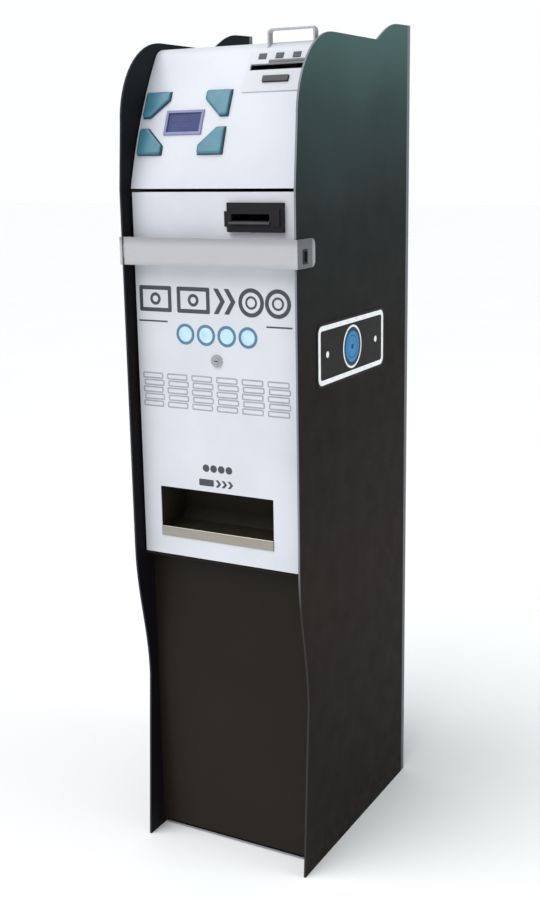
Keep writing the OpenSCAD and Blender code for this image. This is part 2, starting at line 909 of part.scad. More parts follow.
// Shaft with two rubber tyres; the shaft's ends stand out of the head's side walls
module feed_roller(z) {
  tyre_x = 22;
  tyre_w = 18;
  out = 4;
  color(black_plastic) union() {
    rod_x(roller_pin_r, head_x[0] - out, head_x[1] + out, roller_y, z);
    for (s = [-1, 1]) let (x = note_x + s * tyre_x)
      rod_x(roller_r, x - tyre_w / 2, x + tyre_w / 2, roller_y, z);
  }
}

module feed_roller_upper() { feed_roller(mask_z + roller_r + roller_nip); }
module feed_roller_lower() { feed_roller(mask_z - roller_r - roller_nip); }

// Box that the notes are stacked in, with a finger recess in its front
module cash_box() {
  box_w = 90;
  grip = [50, 30, 12];
  front = panel_y + 40;
  grip_z = lock_z + 90;
  color(grey_plastic) difference() {
    block([note_x - box_w / 2, front, seat_z + 3], [note_x + box_w / 2, head_y[1], head_z[0] - 1]);
    block([note_x - grip[0] / 2, front - cut, grip_z],
      [note_x + grip[0] / 2, front + grip[2], grip_z + grip[1]]);
  }
}

// Shelf under the cash box and arm beside the head, both fastened to the right side panel
module validator_bracket() {
  t = 3;
  near = panel_y + 36;
  arm_y = panel_y + 66;
  wall_y = panel_y + 70;
  back = head_y[1] + 2;
  seat_x = 50;
  arm_x = head_x[1] + 6;
  step = seat_z + 43;
  color(plated) union() {
    block([note_x - seat_x, near, seat_z], [note_x + seat_x, back, seat_z + t]);
    block([note_x + seat_x, arm_y, seat_z], [in_x, back, seat_z + t]);
    block([in_x - t, wall_y, seat_z + t], [in_x, back, step]);
    block([arm_x, wall_y, step], [in_x, back, step + t]);
    block([arm_x, wall_y, step + t], [arm_x + t, back, head_z[1]]);
  }
}

// Body, gate on its front, and a tongue of sheet that carries it on the right side panel
module coin_acceptor() {
  x0 = inlet_x - 46;
  x1 = inlet_x + 46;
  y = front_y + 155;
  z = hood_z + 84;
  body = [83, 82];
  gate = [10, 60, 16, 66];
  tongue = [15, 75, 12];
  tongue_t = 3;
  color([0.75, 0.68, 0.3]) union() {
    block([x0, y, z], [x1, y + body[0], z + body[1]]);
    block([x0 + gate[0], y - 5, z + gate[2]], [x0 + gate[1], y, z + gate[3]]);
    block([x1, y + tongue[0], z + tongue[2]], [in_x, y + tongue[1], z + tongue[2] + tongue_t]);
  }
}

// Sheet chute, open at the top and the foot, that leads from the slot back into the acceptor
module coin_funnel() {
  foot = hood_z + 166;
  x0 = inlet_x - 50;
  x1 = inlet_x + 50;
  wall = 2;
  lip = [front_y + 114, foot + 26];
  back = front_y + 190;
  near = front_y + 160;
  high = foot + 34;
  color(grey_plastic) difference() {
    across(x0, x1) polygon([[near, foot], [back, foot], [back, high], lip + [0, 8], lip]);
    across(x0 + wall, x1 - wall) polygon([
      [near + 3, foot - cut], [back - wall, foot - cut], [back - wall, high + 2],
      lip + [3, 12], lip + [3, 1.5]
    ]);
  }
}

// Square tube with both ends open
module tube(low, high, wall) {
  difference() {
    block(low, high);
    block(low + [wall, wall, -cut], high + [-wall, -wall, cut]);
  }
}

module coin_drop_tube() {
  half_w = 19;
  y = [front_y + 202, front_y + 228];
  color(plated)
    tube([inlet_x - half_w, y[0], bin_z + bin_h + 8], [inlet_x + half_w, y[1], hood_z + 84], sheet_t);
}

// ---- Hoppers ----

// Open bin with a round well in its floor for the disc, a shaft hole and a coin hole
module hopper_bin(s) {
  x = s * bin_x;
  wall = 3;
  well = 24;
  well_r = disc_r + 2;
  color(grey_plastic) difference() {
    block([x - bin_w / 2, bin_y, bin_z], [x + bin_w / 2, bin_y + bin_d, bin_z + bin_h]);
    rod_z(well_r, bin_z + bin_floor, bin_z + well + cut, x, disc_y);
    block([x - bin_w / 2 + wall, bin_y + wall, bin_z + well],
      [x + bin_w / 2 - wall, bin_y + bin_d - wall, bin_z + bin_h + cut]);
    rod_z(shaft_r + fit_gap, bin_z - cut, bin_z + bin_floor + cut, x, disc_y);
    rod_z(spout_bore, bin_z - cut, bin_z + bin_floor + cut, x, disc_y + coin_exit_y);
  }
}

module hopper_bin_left() { hopper_bin(-1); }
module hopper_bin_right() { hopper_bin(1); }

// Round spouts under the discs that drop coins through the shelf into the payout cup
module hopper_spouts() {
  low = shelf_z - 12;
  color(black_plastic) for (s = [-1, 1]) difference() {
    rod_z(spout_r, low, bin_z, s * bin_x, disc_y + coin_exit_y);
    rod_z(spout_bore, low - cut, bin_z + cut, s * bin_x, disc_y + coin_exit_y);
  }
}

// Disc with a ring of coin pockets, a stirring cone and the shaft that turns it
module hopper_disc(s) {
  pockets = 6;
  pocket_r = 14;
  disc_h = 6;
  low = bin_floor + 1;
  top = low + disc_h;
  cone = [20, 8, 14];
  color(bright_steel) translate([s * bin_x, disc_y, bin_z]) difference() {
    union() {
      rod_z(disc_r, low, top, 0, 0);
      rod_z(shaft_r, -4, low + 1, 0, 0);
      translate([0, 0, top]) cylinder(r1 = cone[0], r2 = cone[1], h = cone[2]);
    }
    for (i = [0:pockets - 1]) rotate(i * 360 / pockets) rod_z(pocket_r, low - cut, top + cut, 0, coin_exit_y);
  }
}

module hopper_disc_left() { hopper_disc(-1); }
module hopper_disc_right() { hopper_disc(1); }

// Gearbox under each bin with its motor behind and a bearing hole for the disc's shaft
module hopper_drives() {
  half_w = 45;
  near = disc_y - 20;
  far = disc_y + 55;
  motor_r = 12;
  motor_len = 55;
  color(grey_plastic) for (s = [-1, 1]) difference() {
    union() {
      block([s * bin_x - half_w, near, drive_z], [s * bin_x + half_w, far, bin_z]);
      rod_y(motor_r, far, far + motor_len, s * bin_x, (drive_z + bin_z) / 2);
    }
    rod_z(shaft_r + 0.5, bin_z - 10, bin_z + cut, s * bin_x, disc_y);
  }
}

// ---- Electronics ----

// Board on four posts, with a relay block, a processor, a column of sockets and a row of capacitors
module control_board() {
  x = -in_x + 14;
  face = x + board_t;
  low = [front_y + 90, 1020];
  high = [front_y + 270, 1270];
  post = 10;
  tall = 12.4;
  socket_y = high[0] - 25;
  cap_y = low[0] + 25;
  cap_r = 6;
  color([0.1, 0.4, 0.22]) union() {
    block([x, low[0], low[1]], [face, high[0], high[1]]);
    for (y = [low[0] + post, high[0] - post], z = [low[1] + post, high[1] - post]) rod_x(3, -in_x, x, y, z);
    block([face, low[0] + 20, high[1] - 90], [face + tall, low[0] + 60, high[1] - 30]);
    block([face, low[0] + 90, low[1] + 80], [face + 4.4, low[0] + 135, low[1] + 125]);
    for (i = [0:4]) let (z = low[1] + 20 + 30 * i)
      block([face, socket_y, z], [face + tall, socket_y + 17, z + 20]);
    for (i = [0:3]) rod_x(cap_r, face, face + 20.4, cap_y + 18 * i, low[1] + 40);
  }
}

// Steel-cased power supply on a mounting flange, with cooling slots in its top
module power_supply() {
  low = [-in_x + 4, rear_y - 133, 1010];
  size = [100, 130, 42];
  flange = [4, 2];
  slots = 9;
  slot_pitch = 12;
  slot = 5;
  color(bright_steel) difference() {
    union() {
      block(low, low + size);
      block(low - [flange[0], 0, 0], low + [0, size[1], flange[1]]);
    }
    for (i = [0:slots - 1]) let (y = 12 + i * slot_pitch)
      block(low + [10, y, size[2] - 2], low + [size[0] - 10, y + slot, size[2] + cut]);
  }
}

// Square frame with a bore for the rotor and three crossing ribs that hold its bearing
module fan_frame() {
  near = rear_y - 28;
  far = rear_y - rear_t;
  rib_t = 3;
  hub_r = fan_hub + 1;
  rib_w = 5;
  color(black_plastic) difference() {
    translate([fan_x, 0, fan_z]) window(fan_w, fan_w, near, far);
    rod_y(fan_bore, near + rib_t, far + cut, fan_x, fan_z);
    difference() {
      rod_y(fan_bore, near - cut, near + rib_t + cut, fan_x, fan_z);
      rod_y(hub_r, near - 2 * cut, near + rib_t + 2 * cut, fan_x, fan_z);
      for (a = [0, 60, 120]) translate([fan_x, near, fan_z]) rotate([0, a, 0])
        window(2 * fan_bore + 14, rib_w, -2 * cut, rib_t + 3 * cut);
    }
    rod_y(fan_pin_r + fit_gap, near - cut, near + rib_t + 3 * cut, fan_x, fan_z);
  }
}

module fan_rotor() {
  blades = 7;
  hub_y = rear_y - 22;
  hub_h = 15;
  pin = 6;
  blade = [22, 1.6, 16];
  blade_mid = 24;
  twist = 38;
  color(black_plastic) union() {
    rod_y(fan_hub, hub_y, hub_y + hub_h, fan_x, fan_z);
    rod_y(fan_pin_r, hub_y - pin, hub_y, fan_x, fan_z);
    for (i = [0:blades - 1])
      translate([fan_x, hub_y + hub_h / 2 + 0.5, fan_z]) rotate([0, i * 360 / blades, 0])
        translate([blade_mid, 0, 0]) rotate([twist, 0, 0]) cube(blade, center = true);
  }
}

// Body behind the rear panel and flange outside it, with a socket and a well for the rocker
module mains_inlet() {
  deep = 30;
  flange = 4;
  flange_t = 3;
  socket = [20, 4, 10];
  well = [9, 20, 9.5];
  color(black_plastic) difference() {
    translate([power_x, rear_y, inlet_z]) {
      window(power_w, power_h, -deep, 0);
      window(power_w + 2 * flange, power_h + 2 * flange, 0, flange_t);
    }
    block([power_x - socket[0], rear_y - 16, inlet_z - socket[2]],
      [power_x + socket[1], rear_y + flange_t + cut, inlet_z + socket[2]]);
    block([power_x + well[0], rear_y - 12, inlet_z - well[2]],
      [power_x + well[1], rear_y + flange_t + cut, inlet_z + well[2]]);
    rod_x(rocker_pin_r + fit_gap, power_x + 7, power_x + 22, rocker_y, inlet_z);
  }
}

// Rocker with its pivot pin across the well; the upper half stands out when the machine is off
module mains_switch() {
  half_w = 4.8;
  pin = 7;
  color([0.7, 0.12, 0.1]) union() {
    translate([0, rocker_y, inlet_z]) across(rocker_x - half_w, rocker_x + half_w)
      polygon([[-3, -6], [4.2, -8.6], [5, 0], [6.5, 8.2], [-3, 6]]);
    rod_x(rocker_pin_r, rocker_x - pin, rocker_x + pin, rocker_y, inlet_z);
  }
}

// Gland for the mains cord: a hexagon on each side of the rear panel and a round cap outside
module cable_gland() {
  nut_r = 14;
  nut_h = 5;
  cap_r = 11;
  bore = 6;
  tail = 12;
  cap_y = 16;
  color(black_plastic) difference() {
    union() {
      rod_y(gland_r - slack, rear_y - tail, rear_y, gland_x, inlet_z);
      rod_y(cap_r, rear_y + nut_h, rear_y + cap_y, gland_x, inlet_z);
      for (y = [rear_y + nut_h, rear_y - rear_t])
        translate([gland_x, y, inlet_z]) rotate([90, 0, 0]) cylinder(r = nut_r, h = nut_h, $fn = 6);
    }
    rod_y(bore, rear_y - tail - cut, rear_y + cap_y + cut, gland_x, inlet_z);
  }
}

// Round-cornered plate on the right side panel
module side_badge() {
  width = 300;
  high = 118;
  corner = 16;
  t = 1;
  in_y = width / 2 - corner;
  in_z = high / 2 - corner;
  color(black_plastic) translate([half, front_y + 224, 1003]) union() {
    block([0, -in_y, -high / 2], [t, in_y, high / 2]);
    block([0, -width / 2, -in_z], [t, width / 2, in_z]);
    for (u = [-1, 1], v = [-1, 1]) rod_x(corner, 0, t, u * in_y, v * in_z);
  }
}

left_side_panel();
right_side_panel();
rear_panel();
base_plate();
kick_panel();
lower_shelf();
hopper_shelf();
top_cover();
lock_crossbar();
door_pivot_brackets();
hood_panel();
hood_hinge_fixed();
hood_hinge_moving();
hood_hinge_pin();
hood_handle();
display_frame();
display_window();
display_board();
key_upper_left();
key_upper_right();
key_lower_left();
key_lower_right();
inlet_plate();
inlet_lamps();
reject_bar();
door_panel();
door_pivot_bushes();
note_mask();
note_mask_lip();
payout_cup();
payout_lip();
lock_housing();
lock_nut();
lock_plug();
security_strap();
strap_hinge_leaf();
strap_hinge_pin();
strap_rivets();
validator_head();
feed_roller_upper();
feed_roller_lower();
cash_box();
validator_bracket();
coin_acceptor();
coin_funnel();
coin_drop_tube();
hopper_bin_left();
hopper_bin_right();
hopper_disc_left();
hopper_disc_right();
hopper_spouts();
hopper_drives();
control_board();
power_supply();
fan_frame();
fan_rotor();
mains_inlet();
mains_switch();
cable_gland();
side_badge();
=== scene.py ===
"""The look of a free-standing change machine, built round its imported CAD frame.

Lengths are metres. X runs across the machine, the front faces -Y, and the floor is Z = 0.
"""

import json
import math

import bmesh
import bpy
from mathutils import Matrix, Vector


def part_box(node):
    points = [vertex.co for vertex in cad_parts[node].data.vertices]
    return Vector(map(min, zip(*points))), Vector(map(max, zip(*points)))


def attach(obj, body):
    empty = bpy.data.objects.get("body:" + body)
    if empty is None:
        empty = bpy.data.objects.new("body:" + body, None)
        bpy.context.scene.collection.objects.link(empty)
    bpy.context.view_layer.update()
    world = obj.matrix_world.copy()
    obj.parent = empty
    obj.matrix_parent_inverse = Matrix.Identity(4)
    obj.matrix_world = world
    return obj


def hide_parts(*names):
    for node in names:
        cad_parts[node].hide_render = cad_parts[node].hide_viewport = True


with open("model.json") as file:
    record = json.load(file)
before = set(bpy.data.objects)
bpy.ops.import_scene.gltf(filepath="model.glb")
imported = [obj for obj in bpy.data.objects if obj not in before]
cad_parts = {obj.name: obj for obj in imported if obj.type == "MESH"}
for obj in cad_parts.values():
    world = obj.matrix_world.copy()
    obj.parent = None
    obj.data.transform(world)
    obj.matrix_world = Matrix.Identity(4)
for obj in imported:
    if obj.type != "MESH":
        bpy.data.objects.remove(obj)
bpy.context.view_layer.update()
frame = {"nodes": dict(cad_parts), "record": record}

MM = 0.001

# ---- Places, read from the frame ----

side_low, side_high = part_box("right_side_panel")
INNER_X = side_low.x
REAR_Y = side_high.y
TOP_Z = side_high.z

door_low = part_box("door_panel")[0]
PANEL_Y = door_low.y
HOOD_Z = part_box("hood_panel")[0].z

# The hood's curve: an arc that starts with this lean at the hood's lower edge
HOOD_RADIUS = 850 * MM
HOOD_LEAN = math.radians(14)

# The middle of the keys and the display: X is across the hood, Z is up its curve
KEY_GROUP = Vector((-78 * MM, 0, 121 * MM))


def hood_angle(s):
    return HOOD_LEAN + s / HOOD_RADIUS


def on_hood(x, s):
    """Frame at x across and s up the hood's curve: -Y points out of the hood, Z runs up it."""
    angle = hood_angle(s)
    y = PANEL_Y + HOOD_RADIUS * (math.cos(HOOD_LEAN) - math.cos(angle))
    z = HOOD_Z + HOOD_RADIUS * (math.sin(angle) - math.sin(HOOD_LEAN))
    return Matrix.Translation((x, y, z)) @ Matrix.Rotation(-angle, 4, "X")


# ---- Materials ----

NOISE_SPAN = (0.3, 0.7)


class Shader:
    """A material whose colour, roughness and bump are worked out by nodes from object coordinates."""

    def __init__(self, name, roughness, metallic=0.0, **fixed):
        self.material = bpy.data.materials.new(name)
        self.material.use_nodes = True
        self.tree = self.material.node_tree
        self.bsdf = self.tree.nodes["Principled BSDF"]
        self.bsdf.inputs["Metallic"].default_value = metallic
        self.bsdf.inputs["Roughness"].default_value = roughness
        for socket, value in fixed.items():
            self.bsdf.inputs[socket.replace("_", " ")].default_value = value
        self.coords = self.tree.nodes.new("ShaderNodeTexCoord").outputs["Object"]

    def node(self, kind, **inputs):
        """A new node. Each input is a number, a colour or another node's output."""
        made = self.tree.nodes.new(kind)
        for socket, value in inputs.items():
            self.feed(made.inputs[socket], value)
        return made

    def feed(self, socket, value):
        if isinstance(value, bpy.types.NodeSocket):
            self.tree.links.new(value, socket)
        else:
            socket.default_value = value

    def noise(self, scale, detail=3.0, stretch=(1, 1, 1), rough=0.55):
        mapping = self.node("ShaderNodeMapping", Vector=self.coords, Scale=stretch)
        made = self.node("ShaderNodeTexNoise", Vector=mapping.outputs[0], Scale=scale, Detail=detail)
        self.feed(made.inputs["Roughness"], rough)
        return made.outputs["Fac"]

    def spread(self, value, low, high, to_low=0.0, to_high=1.0):
        """value, remapped from low..high to to_low..to_high and clamped."""
        made = self.tree.nodes.new("ShaderNodeMapRange")
        for socket, number in zip(made.inputs, (value, low, high, to_low, to_high)):
            self.feed(socket, number)
        return made.outputs["Result"]

    def maths(self, operation, a, b=0.0):
        made = self.tree.nodes.new("ShaderNodeMath")
        made.operation = operation
        self.feed(made.inputs[0], a)
        self.feed(made.inputs[1], b)
        return made.outputs[0]

    def blend(self, share, a, b):
        made = self.tree.nodes.new("ShaderNodeMix")
        made.data_type = "RGBA"
        self.feed(made.inputs["Factor"], share)
        self.feed(made.inputs[6], a)
        self.feed(made.inputs[7], b)
        return made.outputs[2]

    def patches(self, value, a, b):
        """Two colours in soft patches, by a noise whose values lie mostly in NOISE_SPAN."""
        return self.blend(self.spread(value, *NOISE_SPAN), a, b)

    def rubbed(self, radius, share, body, rim):
        """The body's colour, going over to another along the edges."""
        return self.blend(self.maths("MULTIPLY", self.edges(radius), share), body, rim)

    def ramp(self, value, stops):
        """A colour for each value, blended between the stops, which are (position, colour)."""
        made = self.node("ShaderNodeValToRGB", Fac=value)
        elements = made.color_ramp.elements
        elements[0].position, elements[0].color = stops[0]
        elements[1].position, elements[1].color = stops[-1]
        for position, colour in stops[1:-1]:
            elements.new(position).color = colour
        return made.outputs["Color"]

    def axis(self, index):
        """Object coordinate 0, 1 or 2, in metres."""
        split = self.node("ShaderNodeSeparateXYZ", Vector=self.coords)
        return split.outputs[index]

    def facing(self, index):
        """How far the surface faces along an axis, 0 to 1, whichever side it is on."""
        normal = self.tree.nodes.new("ShaderNodeNewGeometry").outputs["Normal"]
        split = self.node("ShaderNodeSeparateXYZ", Vector=normal)
        return self.maths("ABSOLUTE", split.outputs[index])

    def edges(self, radius):
        """1 along sharp edges, 0 on flats, broken up by a noise."""
        soft = self.node("ShaderNodeBevel", Radius=radius)
        soft.samples = 4
        sharp = self.tree.nodes.new("ShaderNodeNewGeometry").outputs["Normal"]
        dot = self.tree.nodes.new("ShaderNodeVectorMath")
        dot.operation = "DOT_PRODUCT"
        self.feed(dot.inputs[0], soft.outputs[0])
        self.feed(dot.inputs[1], sharp)
        turned = self.spread(dot.outputs["Value"], 0.985, 0.86)
        return self.maths("MULTIPLY", turned, self.spread(self.noise(90, 4), 0.35, 0.62))

    def colour(self, value):
        self.feed(self.bsdf.inputs["Base Color"], value)

    def roughness(self, base, swing, scale=28.0, stretch=(1, 1, 1)):
        """Roughness that wanders from base - swing to base + swing."""
        patchy = self.noise(scale, 4, stretch)
        wandering = self.spread(patchy, *NOISE_SPAN, base - swing, base + swing)
        self.feed(self.bsdf.inputs["Roughness"], wandering)

    def bump(self, *layers):
        """Each layer is (height, strength, depth in metres); they are added one over the other."""
        normal = None
        for height, strength, depth in layers:
            made = self.node("ShaderNodeBump", Height=height, Strength=strength, Distance=depth)
            if normal is not None:
                self.feed(made.inputs["Normal"], normal)
            normal = made.outputs["Normal"]
        self.feed(self.bsdf.inputs["Normal"], normal)


def rgb(r, g, b):
    """A linear colour from the 0 to 255 values that it is seen as."""
    def linear(v):
        v = v / 255
        return v / 12.92 if v <= 0.04045 else ((v + 0.055) / 1.055) ** 2.4
    return (linear(r), linear(g), linear(b), 1.0)


def scaled(colour, share):
    """The same colour, darker or lighter."""
    return tuple(min(1.0, c * share) for c in colour[:3]) + (1.0,)


def powder_coat(name, colour, roughness=0.42, wear=None, grain=0.6, **fixed):
    """Sprayed and baked paint: fine orange peel, faint cloudiness, and edges rubbed thin."""
    m = Shader(name, roughness, **fixed)
    cloudy = m.patches(m.noise(7, 4), scaled(colour, 0.94), scaled(colour, 1.05))
    m.colour(m.rubbed(1.1 * MM, 0.5, cloudy, wear or scaled(colour, 1.9)))
    m.roughness(roughness, 0.05)
    m.bump((m.noise(520, 2), 0.10 * grain, 0.4 * MM), (m.noise(2100, 2), 0.12 * grain, 0.15 * MM))
    return m


def white_coat(name, colour):
    """Pale powder coat, whose edges look darker than its faces."""
    return powder_coat(name, colour, 0.38, scaled(colour, 0.68), 0.7)


def moulded(name, colour, roughness=0.5, grain=0.5, **fixed):
    """Moulded plastic: spark-eroded grain, slight mottling and a little polish on the corners."""
    m = Shader(name, roughness, **fixed)
    mottled = m.patches(m.noise(40, 4), scaled(colour, 0.9), scaled(colour, 1.12))
    m.colour(m.rubbed(0.8 * MM, 0.35, mottled, scaled(colour, 2.2)))
    m.roughness(roughness, 0.07, 60)
    m.bump((m.noise(1500, 3), 0.25 * grain, 0.12 * MM), (m.noise(60, 2), 0.05, 0.3 * MM))
    return m


def brushed(name, colour, roughness=0.3, along=(1, 60, 60), smear=0.06):
    """Metal with grinding lines along one axis and smears of handling across them."""
    m = Shader(name, roughness, metallic=1.0)
    lines = m.noise(55, 6, along, 0.7)
    ground = m.patches(lines, scaled(colour, 0.86), scaled(colour, 1.08))
    smears = m.spread(m.noise(11, 3), 0.35, 0.7, 0.0, 0.35)
    m.colour(m.rubbed(0.8 * MM, 0.4, m.blend(smears, ground, scaled(colour, 0.8)), scaled(colour, 1.25)))
    m.roughness(roughness, smear, 34, (1, 5, 5))
    m.bump((lines, 0.12, 0.1 * MM))
    return m


def zinc(name, colour):
    """Zinc-plated sheet: faint crystals, a bluish and yellowish drift, and rub marks."""
    roughness = 0.38
    m = Shader(name, roughness, metallic=0.9)
    cells = m.node("ShaderNodeTexVoronoi", Vector=m.coords, Scale=85.0)
    crystals = m.spread(cells.outputs["Distance"], 0.1, 0.8)
    spangle = m.blend(crystals, scaled(colour, 0.9), scaled(colour, 1.08))
    drift = m.blend(m.spread(m.noise(9, 3), 0.4, 0.7, 0.0, 0.3), spangle, rgb(178, 172, 150))
    m.colour(m.rubbed(1.0 * MM, 0.4, drift, scaled(colour, 1.3)))
    m.roughness(roughness, 0.09, 45)
    m.bump((m.noise(900, 3), 0.08, 0.1 * MM))
    return m


def flank_paint():
    """Dark laminate with an edge band that is pale beside the door as a painted highlight, lighter and
    green towards the top as a painted reflection, and darker and brown below.
    """
    m = Shader("flank_laminate", 0.55, Specular_IOR_Level=0.025)
    x, y, z = (m.axis(i) for i in range(3))
    height = m.spread(z, 0.0, TOP_Z)
    drifting = m.maths("ADD", height, m.spread(m.noise(2.2, 2), *NOISE_SPAN, -0.03, 0.03))
    # Height ramp: the light green stops near the top are a painted reflection; lower down the colour is
    # darker and brown
    body = m.ramp(drifting, [
        (0.0, rgb(25, 19, 14)),
        (0.35, rgb(31, 23, 18)),
        (0.60, rgb(26, 22, 18)),
        (0.78, rgb(33, 38, 38)),
        (0.90, rgb(55, 71, 71)),
        (1.0, rgb(78, 106, 104)),
    ])
    speckled = m.blend(m.spread(m.noise(800, 3), 0.35, 0.65, 0.0, 0.25), body, rgb(60, 60, 60))
    # Near black on the inner faces of both flanks: black inside paint and painted shade
    inner_paint_and_shade = m.spread(m.maths("ABSOLUTE", x), INNER_X + 0.2 * MM, INNER_X + 1.0 * MM, 0.9, 0.0)
    inner_painted_and_shaded = m.blend(inner_paint_and_shade, speckled, rgb(24, 22, 26))

    # The band on the narrow faces is pale beside the door on the right, a painted highlight of the lit
    # front edge, and stops at the strap's slot
    beside_door = m.spread(z, door_low.z - 60 * MM, door_low.z + 60 * MM)
    right_band_and_highlight = m.blend(beside_door, rgb(58, 56, 56), rgb(128, 134, 142))
    band_colour = m.blend(m.spread(x, 0.0, 10 * MM), rgb(52, 54, 62), right_band_and_highlight)
    strap_low, strap_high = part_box("security_strap")
    from_strap = m.maths("ABSOLUTE", m.maths("SUBTRACT", z, (strap_low.z + strap_high.z) / 2))
    narrow_face = m.spread(m.facing(0), 0.94, 0.6)
    edge = m.maths("MULTIPLY", narrow_face, m.spread(from_strap, 14 * MM, 15 * MM))
    banded = m.blend(edge, inner_painted_and_shaded, band_colour)

    # Painted highlight: a pale strip along the rear edge of the flank
    rear_edge_highlight = m.spread(y, REAR_Y - 14 * MM, REAR_Y - 13.5 * MM, 0.0, 0.9)
    rear_highlighted = m.blend(rear_edge_highlight, banded, rgb(122, 124, 130))
    dust = m.maths("MULTIPLY", m.spread(height, 0.05, 0.0), m.spread(m.noise(60, 4), 0.4, 0.7, 0.0, 0.25))
    m.colour(m.blend(dust, rear_highlighted, rgb(70, 66, 60)))
    m.roughness(0.5, 0.06, 22)
    m.bump((m.noise(900, 3), 0.15, 0.12 * MM), (m.noise(160, 2), 0.04, 0.4 * MM))
    return m


def strap_metal():
    """Satin steel brushed along X, with painted shade: darker along its upper and lower edges and on its
    tab.
    """
    low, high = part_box("security_strap")
    middle, half_height = (low.z + high.z) / 2, (high.z - low.z) / 2
    roughness = 0.42
    m = Shader("strap_satin_steel", roughness, metallic=0.7)
    lines = m.noise(55, 6, (1, 60, 60), 0.7)
    steel = rgb(199, 200, 203)
    ground = m.patches(lines, scaled(steel, 0.93), scaled(steel, 1.04))
    from_middle = m.maths("SUBTRACT", m.axis(2), middle)
    # Painted shade: darker bands along the upper and lower edges
    above = m.spread(from_middle, half_height - 14 * MM, half_height - 3 * MM, 0.0, 0.6)
    below = m.spread(from_middle, 8 * MM - half_height, -half_height, 0.0, 0.3)
    shaded_edges = m.blend(m.maths("ADD", above, below), ground, scaled(steel, 0.5))
    # Painted shade on the tab's side face, fading over the last part towards its end
    towards_rim = m.spread(m.axis(1), high.y - 14 * MM, high.y - 6 * MM, 0.85, 0.3)
    tab_shade = m.maths("MULTIPLY", m.spread(m.facing(0), 0.6, 0.9), towards_rim)
    m.colour(m.rubbed(0.9 * MM, 0.5, m.blend(tab_shade, shaded_edges, rgb(84, 86, 90)), scaled(steel, 1.15)))
    m.roughness(roughness, 0.07, 34, (1, 5, 5))
    m.bump((lines, 0.1, 0.1 * MM))
    return m


def lcd():
    """Blue liquid-crystal face under glass, with its dot grid."""
    m = Shader("lcd_face", 0.4, Specular_IOR_Level=0.2, Coat_Weight=0.12, Coat_Roughness=0.3)
    dots = m.node("ShaderNodeTexBrick", Vector=m.coords, Scale=420.0)
    dots.offset = 0.0
    m.feed(dots.inputs["Color1"], rgb(44, 58, 104))
    m.feed(dots.inputs["Color2"], rgb(50, 64, 112))
    m.feed(dots.inputs["Mortar"], rgb(38, 48, 92))
    m.feed(dots.inputs["Mortar Size"], 0.02)
    glow = m.spread(m.noise(14, 2), *NOISE_SPAN, 0.0, 0.35)
    face = m.blend(glow, dots.outputs["Color"], rgb(54, 66, 116))
    m.colour(face)
    m.feed(m.bsdf.inputs["Emission Color"], face)
    m.bsdf.inputs["Emission Strength"].default_value = 0.05
    m.roughness(0.4, 0.04, 70)
    m.bump((m.noise(30, 2), 0.02, 0.2 * MM))
    return m


def circuit_board():
    """Solder mask over copper tracks."""
    m = Shader("solder_mask", 0.35, Coat_Weight=0.3)
    tracks = m.node("ShaderNodeTexBrick", Vector=m.coords, Scale=130.0)
    m.feed(tracks.inputs["Color1"], rgb(18, 92, 48))
    m.feed(tracks.inputs["Color2"], rgb(26, 110, 58))
    m.feed(tracks.inputs["Mortar"], rgb(60, 138, 84))
    m.feed(tracks.inputs["Mortar Size"], 0.03)
    m.colour(m.blend(m.spread(m.noise(30, 3), 0.35, 0.7), tracks.outputs["Color"], rgb(14, 78, 42)))
    m.roughness(0.34, 0.08, 80)
    m.bump((tracks.outputs["Fac"], 0.2, 0.08 * MM))
    return m


def print_film(name, colour, **fixed):
    """Screen-printed vinyl: slight ink mottle and a soft lacquer."""
    roughness = 0.38
    m = Shader(name, roughness, Coat_Weight=0.1, Coat_Roughness=0.25, **fixed)
    m.colour(m.patches(m.noise(55, 4), scaled(colour, 0.9), scaled(colour, 1.14)))
    m.roughness(roughness, 0.06, 70)
    m.bump((m.noise(1300, 2), 0.08, 0.06 * MM))
    return m


